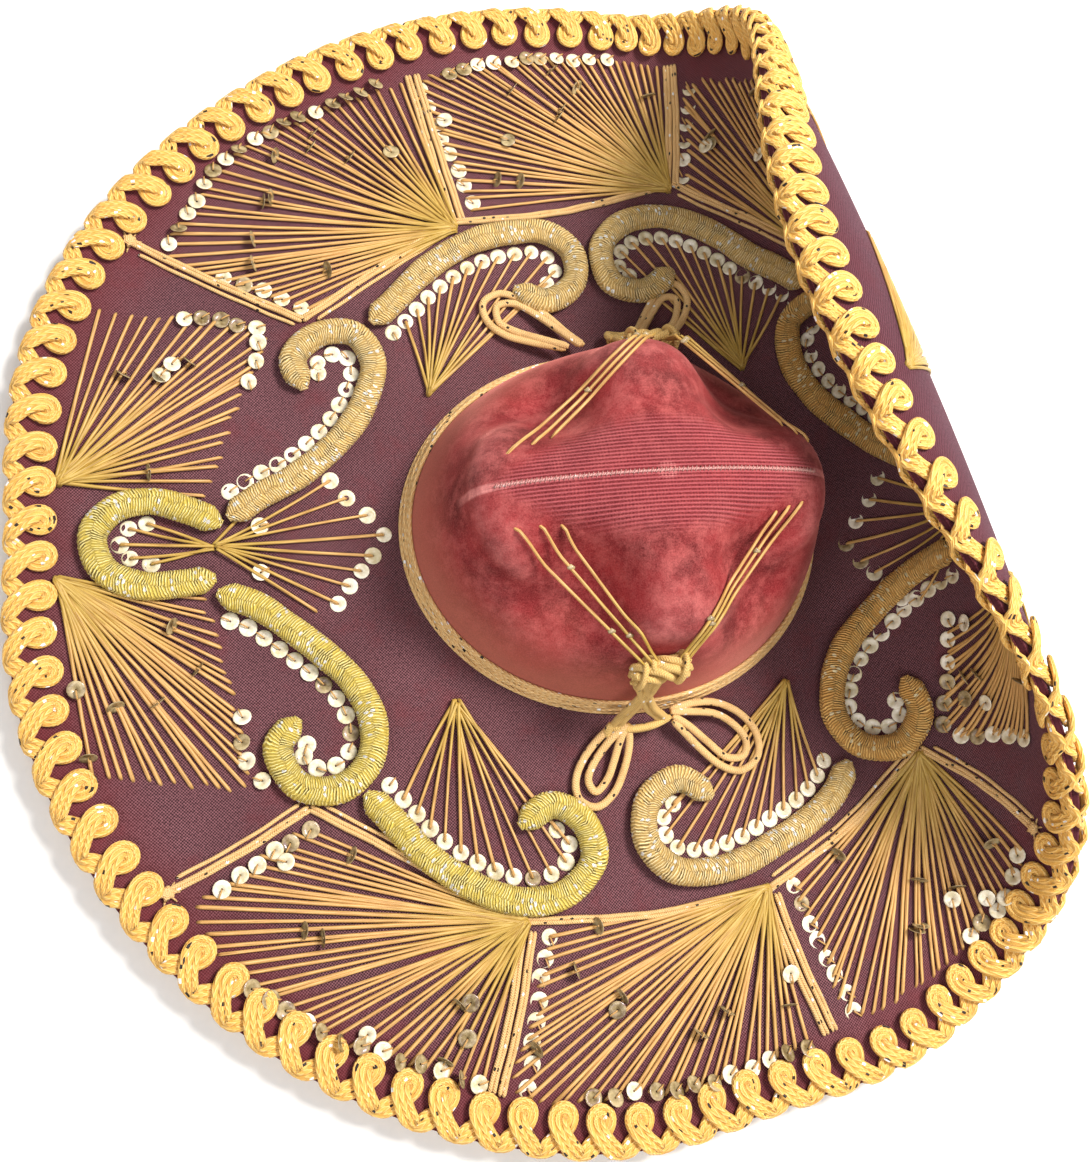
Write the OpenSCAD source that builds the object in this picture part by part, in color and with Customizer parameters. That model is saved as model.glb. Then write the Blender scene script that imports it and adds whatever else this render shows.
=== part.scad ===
// Embroidered sombrero, origin at the centre of the head opening on the resting plane.
// Front is -X, the wearer's left is -Y, up is +Z, all sizes in mm.
// Everything on the brim is laid out flat as (x, y, height above the underside)
// and then rolled up at the back by on_brim().

/* [Crown] */
// Half length of the crown at its foot
crown_half_length = 101; // [90:1:115]
// Half width of the crown at its foot
crown_half_width = 87; // [78:1:100]
// Height of the crown
crown_height = 97; // [80:1:140]
// Height where the wall turns over to the top
shoulder_height = 70; // [60:1:100]
// Size of the top compared with the foot
top_ratio = 0.82; // [0.6:0.01:0.95]
// Reach of each dent
dent_reach = 27; // [15:1:40]
// Thickness of the velvet
velvet = 1.2; // [0.6:0.1:2]
// Thickness of the crown felt
crown_felt_thickness = 2.2; // [1.5:0.1:4]
// Thickness of the lining
lining = 0.8; // [0.4:0.1:1.5]
// Thickness of the sweatband
sweatband_thickness = 1.4; // [0.8:0.1:2.5]
// Height of the sweatband
sweatband_height = 32; // [20:1:45]

/* [Brim] */
// Radius of the brim laid flat
brim_radius = 284; // [240:1:320]
// Rise of the rim above the resting plane
brim_dish = 11; // [0:1:40]
// Radius where the rise starts
dish_start = 150; // [120:5:220]
// Thickness of the brim felt
brim_felt_thickness = 2.2; // [1.5:0.1:4]
// Thickness of each brim cloth
cloth = 0.8; // [0.4:0.1:1.5]

/* [Rolled back] */
// Where the back starts to roll up, along X
roll_start = 78; // [60:1:140]
// Radius of the roll
roll_radius = 70; // [50:1:110]
// How far the fold line slants, per mm of Y
roll_slant = -0.18; // [-0.4:0.01:0.4]
// How much tighter the roll gets to the wearer's right, per mm of Y
roll_taper = 0.0005; // [0:0.0001:0.001]

/* [Rim braid] */
// Width of the braid on each face
braid_width = 22; // [10:1:25]
// Thickness of the braid on each face
braid_thickness = 3; // [1:0.1:5]

/* [Gold work] */
// Width of a padded scroll
scroll_width = 13; // [10:1:20]
// Height of a padded scroll
scroll_height = 8.5; // [5:0.5:14]
// Thickness of a frame cord
frame_cord = 4; // [2:0.5:8]
// Height of the thread fans
fan_height = 1.2; // [0.6:0.1:2.5]
// Diameter of a sequin
sequin_diameter = 8; // [5:0.5:12]
// Spacing of the sequins in a row
sequin_pitch = 12; // [9:0.5:16]
// Thickness of a sequin
sequin_thickness = 0.6; // [0.3:0.1:1.2]
// Hole in a sequin
sequin_hole = 1.4; // [0.8:0.1:2]
// Thickness of the two round hatband cords
band_cord = 3; // [2:0.5:8]
// Thickness of the plaited hatband
band_plait = 3.5; // [2:0.5:9]
// Thickness of a bow cord
bow_cord = 4; // [3:0.5:7]
// Thickness of a crown thread
crown_thread = 1.5; // [0.8:0.1:2.5]

/* [Hidden] */
face = brim_felt_thickness + 2 * cloth;
velvet_red = [0.55, 0.18, 0.2];
maroon = [0.32, 0.12, 0.15];
gold = [0.78, 0.64, 0.26];
dull_gold = [0.62, 0.48, 0.2];
cream = [0.9, 0.87, 0.76];

// ---- Surfaces and solids ----

// One square of a surface as two triangles
function cells(n, m, round, k, flip) = [
    for (i = [0:n - 2], j = [0:m - (round ? 1 : 2)])
        let (a = k + i * m + j, b = k + i * m + (j + 1) % m, c = a + m, d = b + m)
        for (t = flip ? [[a, c, d], [a, d, b]] : [[a, b, d], [a, d, c]]) t];
function flat_list(rows) = [for (r = rows) for (p = r) p];

// Closed solid between two matching surfaces, rows run from the middle outwards
module skin(top, under, round = true, tips = []) {
    n = len(top);
    m = len(top[0]);
    k = n * m;
    tip = 2 * k;
    last = m - (round ? 1 : 2);
    capped = len(tips) > 0;
    outer_edge = [for (j = [0:last])
        let (a = (n - 1) * m + j, b = (n - 1) * m + (j + 1) % m)
        for (t = [[a, b, b + k], [a, b + k, a + k]]) t];
    inner_edge = [for (j = [0:last])
        let (a = j, b = (j + 1) % m)
        for (t = [[a, b + k, b], [a, a + k, b + k]]) t];
    cap = [for (j = [0:last])
        let (a = j, b = (j + 1) % m)
        for (t = [[tip, b, a], [tip + 1, a + k, b + k]]) t];
    ends = [for (i = [0:n - 2])
        let (a = i * m, c = a + m, e = a + m - 1, g = c + m - 1)
        for (t = [[a, c, c + k], [a, c + k, a + k], [g, e, e + k], [g, e + k, g + k]]) t];
    tip_ends = [[tip, 0, k], [tip, k, tip + 1], [m - 1, tip, tip + 1], [m - 1, tip + 1, m - 1 + k]];
    polyhedron(
        points = concat(flat_list(top), flat_list(under), tips),
        faces = concat(cells(n, m, round, 0, false), cells(n, m, round, k, true), outer_edge,
            capped ? cap : inner_edge,
            round ? [] : ends,
            (capped && !round) ? tip_ends : []),
        convexity = 8);
}

// Closed solid swept through a list of loops, joined end to end when it is a ring
module sweep(loops, ring = false) {
    n = len(loops);
    m = len(loops[0]);
    side = [for (i = [0:n - (ring ? 1 : 2)], j = [0:m - 1])
        let (a = i * m + j, b = i * m + (j + 1) % m,
            c = ((i + 1) % n) * m + j, d = ((i + 1) % n) * m + (j + 1) % m)
        for (t = [[a, c, d], [a, d, b]]) t];
    caps = [for (j = [1:m - 2])
        for (t = [[0, j, j + 1], [(n - 1) * m, (n - 1) * m + j + 1, (n - 1) * m + j]]) t];
    polyhedron(points = flat_list(loops), faces = concat(side, ring ? [] : caps), convexity = 8);
}

// Smooth route through hand-placed points, with k steps in each gap
function bend(a, b, c, d, t) = 0.5 * (2 * b + (c - a) * t + (2 * a - 5 * b + 4 * c - d) * t * t
    + (3 * b - 3 * c + d - a) * t * t * t);
function route(p, k) = let (n = len(p)) concat(
    [for (i = [0:n - 2], s = [0:k - 1])
        bend(p[max(i - 1, 0)], p[i], p[i + 1], p[min(i + 2, n - 1)], s / k)],
    [p[n - 1]]);

// ---- Shape of the brim and crown ----

// The rim is a little flattened at the front and on the left: middle angle, push, reach
rim_swells = [[178, -7, 11], [278, -7, 10], [148, 3, 14]];
function rim(angle) = let (moves = [for (w = rim_swells) w[1] * exp(-pow((angle - w[0]) / w[2], 2))])
    brim_radius + moves[0] + moves[1] + moves[2];
function rise(r) = brim_dish * pow(max(r - dish_start, 0) / (brim_radius - dish_start), 2);
function on_brim(x, y, h) =
    let (fold = roll_start + roll_slant * y,
        radius = roll_radius / (1 + roll_taper * y),
        turn = max(x - fold, 0) / radius * 180 / PI,
        z = rise(norm([x, y])) + h)
    [min(x, fold) + (radius - z) * sin(turn), y, radius - (radius - z) * cos(turn)];

// Dents pressed into the crown: centre and push
dents = [
    [[-42, -50, 80], [13, 15, -24]],
    [[46, -44, 80], [-10, 13, -19]],
    [[-46, 48, 80], [12, -14, -21]],
    [[50, 46, 80], [-10, -12, -19]]];
function pressed(p) = let (moves = [for (d = dents) d[1] * exp(-pow(norm(p - d[0]) / dent_reach, 2))])
    moves[0] + moves[1] + moves[2] + moves[3];
// Crown surface at an angle, t runs from 0 at the top centre to 1 at the foot
function profile(t) =
    let (top = t < 0.5, u = top ? t / 0.5 : (t - 0.5) / 0.5)
    [top ? top_ratio * pow(sin(90 * u), 0.85) : 1 - (1 - top_ratio) * pow(1 - u, 1.3),
        top ? shoulder_height + (crown_height - shoulder_height) * pow(cos(90 * u), 0.8)
            : shoulder_height * (1 - u)];
function eased(t) =
    let (ease = min(max(min(t - 0.1, 1 - t) / 0.15, 0), 1),
        around = (profile(max(t - 0.038, 0)) + profile(min(t + 0.038, 1))) / 2)
    profile(t) + ease / 2 * (around - profile(t));
function plain_crown(angle, t, inset) = let (e = eased(t))
    [(crown_half_length - inset) * e[0] * cos(angle), (crown_half_width - inset) * e[0] * sin(angle),
        e[1] * (1 - inset / crown_height)];
function on_crown(angle, t, inset) = plain_crown(angle, t, inset) + pressed(plain_crown(angle, t, 0));
function foot_height(angle) =
    on_brim(crown_half_length * cos(angle), crown_half_width * sin(angle), face)[2];
// Same surface, but stopping on top of the brim
function above_brim(angle, t, inset) =
    let (p = on_crown(angle, t, inset), foot = foot_height(angle), down = max(2 * t - 1, 0))
    [p[0], p[1], down == 0 ? p[2] : max(p[2], 0) * (1 - foot / shoulder_height * down) + foot * down];

// ---- Pieces made from them ----

crown_steps = [for (i = [1:10]) i / 10];
module crown_shell(outer, inner, steps) {
    angles = [for (j = [0:39]) j * 9];
    skin([for (t = steps) [for (a = angles) on_crown(a, t, outer)]],
        [for (t = steps) [for (a = angles) on_crown(a, t, inner)]],
        tips = [on_crown(0, 0, outer), on_crown(0, 0, inner)]);
}
module velvet_half(start) {
    angles = [for (j = [0:20]) start + j * 9];
    skin([for (t = crown_steps) [for (a = angles) above_brim(a, t, 0)]],
        [for (t = crown_steps) [for (a = angles) above_brim(a, t, velvet)]],
        round = false,
        tips = [on_crown(0, 0, 0), on_crown(0, 0, velvet)]);
}
brim_steps = [for (i = [0:9]) i / 9];
// One layer of the brim between two heights, from the oval hole to the rim
module brim_layer(low, high) {
    angles = [for (j = [0:59]) j * 6];
    hole = [crown_half_length - velvet, crown_half_width - velvet];
    function at(a, s, h) = on_brim((hole[0] + (rim(a) - hole[0]) * s) * cos(a),
        (hole[1] + (rim(a) - hole[1]) * s) * sin(a), h);
    skin([for (s = brim_steps) [for (a = angles) at(a, s, high)]],
        [for (s = brim_steps) [for (a = angles) at(a, s, low)]]);
}
// Rounded cord lying on the brim along a flat route
module brim_cord(path, width, height, steps = 2, sides = 8) {
    p = route(path, steps);
    n = len(p);
    sweep([for (i = [0:n - 1])
        let (along = p[min(i + 1, n - 1)] - p[max(i - 1, 0)],
            across = [-along[1], along[0]] / norm(along),
            size = (i == 0 || i == n - 1) ? 0.45 : 1)
        [for (s = [0:sides - 1])
            let (q = p[i] + across * (width / 2 * size * cos(s * 360 / sides)))
            on_brim(q[0], q[1], face + height / 2 * (1 + size * sin(s * 360 / sides)))]]);
}
// Fan of laid threads from its gathering point to a route of ends
module fan(apex, ends, pleats = 12, rows = 4) {
    there = route(ends, ceil(2 * pleats / (len(ends) - 1)));
    n = len(there);
    outward = cross(there[0] - apex, there[n - 1] - apex) > 0;
    p = outward ? there : [for (i = [0:n - 1]) there[n - 1 - i]];
    function at(i, s, h) = let (q = apex + (p[i] - apex) * s) on_brim(q[0], q[1], face + h);
    skin([for (r = [0:rows - 1]) [for (i = [0:n - 1])
            at(i, 0.04 + 0.96 * r / (rows - 1), i % 2 == 0 ? fan_height : fan_height * 0.5)]],
        [for (r = [0:rows - 1]) [for (i = [0:n - 1]) at(i, 0.04 + 0.96 * r / (rows - 1), 0)]],
        round = false);
}
// Sequin lying on the brim
module sequin(x, y, lift = 0) {
    base = on_brim(x, y, face + lift);
    east = on_brim(x + 1, y, face + lift) - base;
    north = on_brim(x, y + 1, face + lift) - base;
    ex = east / norm(east);
    up = cross(ex, north) / norm(cross(ex, north));
    ey = cross(up, ex);
    multmatrix([
        [ex[0], ey[0], up[0], base[0]],
        [ex[1], ey[1], up[1], base[1]],
        [ex[2], ey[2], up[2], base[2]],
        [0, 0, 0, 1]])
    difference() {
        cylinder(d = sequin_diameter, h = sequin_thickness, $fn = 24);
        translate([0, 0, -1]) cylinder(d = sequin_hole, h = 3, $fn = 16);
    }
}
// Evenly spread sequins along a route
function distances(p) = [for (i = 0, s = 0; i < len(p); s = s + (i < len(p) - 1 ? norm(p[i + 1] - p[i]) : 0),
    i = i + 1) s];
module sequin_row(path) {
    p = route(path, 6);
    s = distances(p);
    last = len(p) - 1;
    n = floor(s[last] / sequin_pitch);
    for (i = [0:n])
        sequin(lookup(i * s[last] / n, [for (k = [0:last]) [s[k], p[k][0]]]),
            lookup(i * s[last] / n, [for (k = [0:last]) [s[k], p[k][1]]]), fan_height);
}
// Free cord through the air or over the crown
module cord(path, width, steps = 3, sides = 6) {
    p = route(path, steps);
    n = len(p);
    sweep([for (i = [0:n - 1])
        let (along = p[min(i + 1, n - 1)] - p[max(i - 1, 0)],
            side = cross([0, 0, 1], along),
            across = side / norm(side),
            up = cross(along, across) / norm(along))
        [for (s = [0:sides - 1])
            p[i] + width / 2 * (across * cos(s * 360 / sides) + up * sin(s * 360 / sides))]]);
}
// Oval ring round the foot of the crown
module crown_ring(width, lift) {
    sweep([for (j = [0:39])
        let (a = j * 9,
            out = width / 2,
            wall = on_crown(a, 1 - lift / shoulder_height / 2, 0),
            centre = [wall[0] + out * cos(a), wall[1] + out * sin(a), foot_height(a) + lift])
        [for (s = [0:5])
            centre + out * [cos(a) * cos(s * 60), sin(a) * cos(s * 60), sin(s * 60)]]], ring = true);
}

// ---- Routes on the brim as if it lay flat, front is -X ----

scroll_front_path = [[-186, 12], [-200, 19], [-216, 24], [-232, 21], [-242, 9], [-238, -7], [-223, -15], [-206, -15],
    [-190, -13]];
scroll_back_path = [[199, -7], [210, 2], [226, 7], [242, 4], [252, -8], [248, -24], [233, -32], [216, -33], [200, -31]];
scroll_front_left_path = [[-190, -20], [-173, -27], [-158, -39], [-144, -52], [-132, -66], [-125, -84], [-128, -102],
    [-142, -113], [-160, -110], [-168, -93], [-158, -80]];
scroll_front_right_path = [[-183, 15], [-168, 25], [-152, 33], [-137, 44], [-124, 57], [-115, 72], [-110, 90],
    [-118, 105], [-135, 105], [-148, 93], [-144, 77]];
scroll_back_left_path = [[187, -34], [167, -36], [148, -42], [130, -53], [114, -66], [103, -83], [100, -102],
    [112, -117], [133, -119], [146, -105], [141, -87]];
scroll_back_right_path = [[190, 5], [167, 16], [149, 28], [133, 43], [119, 59], [110, 79], [113, 99], [132, 104],
    [150, 93], [148, 74]];
side_front_left_path = [[-131, -116], [-119, -131], [-108, -145], [-94, -157], [-78, -167], [-60, -172], [-43, -169],
    [-30, -156], [-33, -139], [-47, -130], [-63, -138]];
side_back_left_path = [[103, -124], [92, -139], [77, -150], [60, -158], [43, -165], [25, -168], [7, -165],
    [-4, -151], [-1, -133], [15, -124], [31, -134]];
side_front_right_path = [[-109, 111], [-96, 123], [-83, 136], [-68, 147], [-52, 155], [-34, 159], [-16, 159],
    [-3, 148], [-4, 131], [-19, 121], [-36, 128]];
side_back_right_path = [[127, 114], [112, 127], [96, 139], [82, 152], [65, 163], [46, 168], [26, 164], [13, 150],
    [16, 131], [33, 126], [50, 137]];

frame_left_path = [[-218, -150], [-186, -136], [-156, -120], [-110, -150], [-66, -180], [-6, -184], [52, -180],
    [100, -154], [142, -122], [170, -142], [198, -166]];
frame_right_path = [[-220, 152], [-184, 134], [-142, 114], [-104, 140], [-64, 166], [-6, 172], [58, 188], [98, 160],
    [138, 126], [166, 150], [192, 172]];

// Line at a fixed distance to the left of a route
function beside(path, offset) = let (p = route(path, 3), n = len(p)) [for (i = [0:n - 1])
    let (along = p[min(i + 1, n - 1)] - p[max(i - 1, 0)]) p[i] + offset * [-along[1], along[0]] / norm(along)];
function part_of(p, from, to) = [for (i = [round(from * (len(p) - 1)):round(to * (len(p) - 1))]) p[i]];

// ---- Crown ----

module crown_felt() {
    color(maroon) crown_shell(velvet, velvet + crown_felt_thickness, crown_steps);
}
module crown_velvet_left() {
    color(velvet_red) velvet_half(180);
}
module crown_velvet_right() {
    color(velvet_red * 0.95) velvet_half(0);
}
module crown_seam() {
    color(velvet_red * 0.6) cord([for (x = [-70, -50, -25, 0, 25, 50, 70])
        let (u = abs(x) / (crown_half_length * top_ratio))
        on_crown(x < 0 ? 180 : 0, asin(pow(u, 1 / 0.85)) / 180, -0.4)], 1.6, steps = 2);
}
module crown_lining() {
    color([0.7, 0.62, 0.5]) crown_shell(velvet + crown_felt_thickness, velvet + crown_felt_thickness + lining,
        [for (i = [1:8]) i / 8 * 0.97]);
}
// The band leans inwards with the wall of the crown
module sweatband() {
    inset = velvet + crown_felt_thickness + lining;
    angles = [for (j = [0:39]) j * 9];
    steps = [1 - sweatband_height / shoulder_height / 2, 0.8, 0.9, 1];
    color([0.36, 0.22, 0.13]) skin(
        [for (t = steps) [for (a = angles) on_crown(a, t, inset)]],
        [for (t = steps) [for (a = angles) on_crown(a, t, inset + sweatband_thickness)]]);
}

// ---- Brim ----

module brim_felt() {
    color(maroon) brim_layer(cloth, face - cloth);
}
module brim_top_cloth() {
    color(maroon * 1.1) brim_layer(face - cloth, face);
}
module brim_under_cloth() {
    color(maroon * 0.9) brim_layer(0, cloth);
}
module rim_braid() {
    section = [[4 - braid_width, face], [4 - braid_width, face + braid_thickness], [0, face + braid_thickness],
        [4, face], [4, 0], [0, -braid_thickness], [4 - braid_width, -braid_thickness], [4 - braid_width, 0],
        [0, 0], [0, face]];
    color(gold) sweep([for (j = [0:71]) let (a = j * 5) [for (s = section)
        on_brim((rim(a) + s[0]) * cos(a), (rim(a) + s[0]) * sin(a), s[1])]], ring = true);
}

// ---- Cords on the crown ----

module hatband_lower_cord() {
    color(gold) crown_ring(band_cord, band_cord / 2);
}
module hatband_plait() {
    color(dull_gold) crown_ring(band_plait, band_cord + band_plait / 2);
}
module hatband_upper_cord() {
    color(gold) crown_ring(band_cord, band_cord * 1.5 + band_plait);
}
// Wrapped lump on the side wall, its legs, and the bow's own knot at the foot
module knot(side, shift, drop, far) {
    function at(x, y, z) = [x + shift, side * y, z];
    color(dull_gold) {
        cord([at(-16, 81 + far, 57 - drop), at(-8, 80 + far, 60 - drop), at(2, 79.5 + far, 62 - drop),
            at(9, 79.5 + far, 64 - drop)], 11, steps = 1, sides = 8);
        cord([at(-11, 82 + far, 54 - drop), at(-7, 86 + far, 44 - drop), at(0, 91.5, 28 - drop / 4), at(7, 94, 17),
            at(11, 96, 12)], 6, steps = 1);
        cord([at(-2, 82 + far, 52 - drop), at(-5, 87.5 + far, 40 - drop), at(-9, 92, 26 - drop / 4), at(-12, 95.5, 17),
            at(-13, 98, 11)], 6, steps = 1);
        cord([at(-17, 97, 11), at(-8, 99, 12), at(4, 98.5, 12), at(14, 95, 11)], 7, steps = 1);
    }
}
module knot_left() {
    knot(-1, 0, 0, 0);
}
module knot_right() {
    knot(1, 26, 24, 5);
}
// Loops of cord hanging from the knot and lying on the brim
module bow_loops(loops) {
    color(gold) for (p = loops) cord(p, bow_cord, steps = 1);
}
module bow_left() {
    bow_loops([
        [[-9, -95, 13.5], [-19, -100, 10.5], [-29, -110, 8], [-34, -120, 6.8], [-33, -129, 6.4], [-25, -133, 6.4],
            [-16, -127, 6.6], [-10, -116, 8], [-6, -106, 9.8], [-2, -99, 11]],
        [[-11, -96, 15], [-17, -103, 11], [-24, -112, 8], [-28, -120, 6.8], [-25, -126, 6.4], [-19, -121, 6.8],
            [-15, -113, 8], [-11, -105, 10.5], [-5, -99, 12.5]],
        [[14, -92, 13.5], [26, -89.5, 12], [39, -90, 9], [51, -96, 7], [58, -106, 6.4], [57, -117, 6.4],
            [48, -123, 6.4], [38, -120, 6.8], [28, -111, 8.4], [12, -100, 11]],
        [[14, -93, 14.5], [25, -93.5, 12], [37, -95, 9], [46, -100, 7], [52, -108, 6.4], [50, -116, 6.4],
            [41, -116, 6.8], [32, -108, 8.4], [22, -102, 10], [11, -98, 12]]]);
}
module bow_right() {
    bow_loops([
        [[-5, 94, 13.5], [-12, 102, 10.5], [-21, 113, 8], [-32, 122, 6.8], [-43, 126, 6.4], [-52, 121, 6.4],
            [-51, 111, 6.6], [-43, 103, 7.6], [-31, 98, 9.4], [-14, 92.5, 13]],
        [[-7, 93, 15.5], [-16, 103, 11.5], [-26, 113, 8.6], [-36, 120, 7], [-45, 119, 6.6], [-45, 110, 7],
            [-37, 104, 8.6], [-26, 99, 11], [-13, 93, 14.5]],
        [[20, 95, 13.5], [26, 104, 10.5], [33, 115, 8], [41, 126, 6.8], [51, 130, 6.4], [56, 122, 6.6],
            [53, 112, 7.6], [46, 103, 9.4], [35, 94, 12.5]],
        [[22, 94, 15.5], [29, 104, 11.5], [36, 114, 8.6], [43, 122, 7], [50, 121, 6.8], [48, 111, 7.6],
            [42, 103, 9.4], [32, 95, 13.5]]]);
}
// Three threads from the knot over the dents; on the right they first climb the wall from the lower knot
module crown_threads(paths) {
    color(gold) for (p = paths) cord(p, crown_thread, steps = 1);
}
module crown_threads_front_left() {
    crown_threads([
        [[-12, -78, 66], [-19, -70.5, 68], [-29, -59, 70], [-43.5, -43.5, 72], [-57.5, -27.5, 78.5], [-69, -15, 84.5]],
        [[-8.5, -78, 66], [-14.5, -70.5, 68], [-23.5, -59, 70], [-35.5, -43.5, 73.5], [-48, -27.5, 78], [-58, -15, 87]],
        [[-5, -78, 66], [-10, -70.5, 68], [-18, -59.5, 71], [-28.5, -44, 75], [-39.5, -28.5, 79], [-48, -16, 87.5]]]);
}
module crown_threads_back_left() {
    crown_threads([
        [[3, -78, 67], [9, -70.5, 74], [18.5, -59, 80.5], [31, -43.5, 77], [44, -27.5, 79], [54, -15, 85]],
        [[5, -78, 67], [11.5, -70, 73], [22, -58, 78.5], [36, -41.5, 75], [50, -25, 78], [61, -12, 86]],
        [[7, -78, 67], [14.5, -70, 71], [25.5, -57.5, 75], [40.5, -40.5, 74], [56, -23.5, 79], [68, -10, 85]]]);
}
module crown_threads_front_right() {
    crown_threads([
        [[17, 83.5, 41], [8, 76, 66], [-1.5, 68, 80.5], [-15.5, 56.5, 82], [-35, 40, 75], [-54.5, 24, 79.5], [-70, 11, 84.5]],
        [[18.5, 83.5, 41], [11, 76, 66], [3, 69, 80.5], [-9.5, 58, 85.5], [-26.5, 43, 77], [-43.5, 28, 79], [-57, 16, 85.5]],
        [[20, 83.5, 41], [14, 76, 66], [7, 69.5, 79], [-3.5, 60, 86.5], [-18.5, 46.5, 82], [-33, 33, 80], [-45, 22, 81]]]);
}
module crown_threads_back_right() {
    crown_threads([
        [[26, 83.5, 41], [24, 75, 66], [29, 69, 68], [36, 59.5, 70], [46, 47, 73.5], [56, 34, 77], [64, 24, 78]],
        [[27.5, 83.5, 41], [27, 75, 66], [32.5, 68.5, 68], [40, 58.5, 70], [51, 45, 73], [62, 31, 76.5], [71, 20, 79]],
        [[29, 83.5, 41], [30, 75, 66], [35.5, 68, 67], [44, 57, 69], [56, 42, 71.5], [67.5, 27, 75], [77, 15, 78]]]);
}

// ---- Scrolls ----

module scroll(path) {
    color(gold) brim_cord(path, scroll_width, scroll_height, steps = 1);
}
module scroll_front() {
    scroll(scroll_front_path);
}
module scroll_back() {
    scroll(scroll_back_path);
}
module scroll_front_left() {
    scroll(scroll_front_left_path);
}
module scroll_back_left() {
    scroll(scroll_back_left_path);
}
module scroll_front_right() {
    scroll(scroll_front_right_path);
}
module scroll_back_right() {
    scroll(scroll_back_right_path);
}
module side_scroll_front_left() {
    scroll(side_front_left_path);
}
module side_scroll_back_left() {
    scroll(side_back_left_path);
}
module side_scroll_front_right() {
    scroll(side_front_right_path);
}
module side_scroll_back_right() {
    scroll(side_back_right_path);
}

// ---- Frame cords ----

module frame(path, steps = 2) {
    color(dull_gold) brim_cord(path, frame_cord, frame_cord * 0.65, steps, sides = 6);
}
module divider(path) {
    for (shift = [-2.3, 2.3]) frame(beside(path, shift), 1);
}
module frame_cord_left() {
    frame(frame_left_path);
}
module frame_cord_right() {
    frame(frame_right_path);
}
module divider_cords_front_left() {
    divider([[-64, -184], [-74, -218], [-87, -250]]);
}
module divider_cords_back_left() {
    divider([[54, -182], [61, -214], [70, -246]]);
}
module divider_cords_front_right() {
    divider([[-60, 167], [-68, 204], [-77, 246]]);
}
module divider_cords_back_right() {
    divider([[58, 186], [64, 218], [69, 250]]);
}

// ---- Fans of thread ----

module inner_fan(apex, path, side, rows) {
    color(dull_gold) fan(apex, part_of(beside(path, 10.3 * side), 0.1, 0.8), 7, rows);
}
module fan_inner_front_left() {
    inner_fan([-86, -78], side_front_left_path, 1, 2);
}
module fan_inner_back_left() {
    inner_fan([78, -82], side_back_left_path, -1, 3);
}
module fan_inner_front_right() {
    inner_fan([-84, 74], side_front_right_path, -1, 2);
}
module fan_inner_back_right() {
    inner_fan([82, 82], side_back_right_path, 1, 3);
}
// Threads in a wide fan towards the crown and a small one into the end scroll
butterfly_wide = [[37, 36], [55, 30], [71, 12], [78, 2], [66, -15], [54, -30], [44, -33]];
butterfly_small = [[-29, 12.5], [-37, 10.5], [-41, 3], [-37, -3.5], [-28, -6.5]];
function placed(p, x, y, side, shift) = [for (q = p) [x - side * q[0], y + q[1] + shift]];
module butterfly(x, y, side, shift) {
    color(dull_gold) {
        fan([x, y], placed(butterfly_wide, x, y, side, 0), 7, 3);
        fan([x, y], placed(butterfly_small, x, y, side, shift), 4, 2);
    }
}
module fan_butterfly_front() {
    butterfly(-190, 2, -1, 0);
}
module fan_butterfly_back() {
    butterfly(200, -19, 1, 5);
}
module fan_front_left() {
    color(dull_gold) fan([-258, -10], [[-246, -98], [-214, -104], [-182, -106], [-186, -70], [-190, -46],
        [-196, -22]], 12, 2);
}
module fan_front_right() {
    color(dull_gold) fan([-256, 34], [[-234, 118], [-196, 114], [-160, 108], [-172, 80], [-182, 54],
        [-192, 28]], 12, 2);
}
module fan_back_left() {
    color(dull_gold) fan([247, -58], [[206, -126], [180, -122], [158, -116], [162, -92], [168, -70]], 12, 3);
}
module fan_back_right() {
    color(dull_gold) fan([248, 34], [[204, 108], [184, 104], [164, 98], [174, 72], [180, 46]], 12, 3);
}
module fan_corner_front_left() {
    color(dull_gold) fan([-64, -180], [[-160, -128], [-190, -146], [-206, -158], [-192, -188], [-154, -217],
        [-114, -239], [-92, -246]], 12, 2);
}
module fan_corner_back_left() {
    color(dull_gold) fan([142, -124], [[64, -176], [74, -210], [84, -240], [130, -226], [172, -198],
        [188, -176]], 12, 4);
}
module fan_corner_front_right() {
    color(dull_gold) fan([-62, 162], [[-140, 119], [-176, 134], [-204, 148], [-168, 200], [-128, 224],
        [-84, 241]], 12, 2);
}
module fan_corner_back_right() {
    color(dull_gold) fan([138, 126], [[66, 186], [72, 214], [78, 238], [124, 220], [168, 196], [186, 174]], 12, 4);
}
module fan_side_left() {
    color(dull_gold) fan([52, -178], [[-54, -188], [-66, -220], [-76, -252], [-20, -260], [30, -257],
        [58, -248]], 12, 3);
}
module fan_side_right() {
    color(dull_gold) fan([56, 184], [[-52, 174], [-62, 206], [-74, 242], [-20, 257], [28, 258], [60, 252]], 12, 3);
}

// ---- Sequins ----

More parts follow.
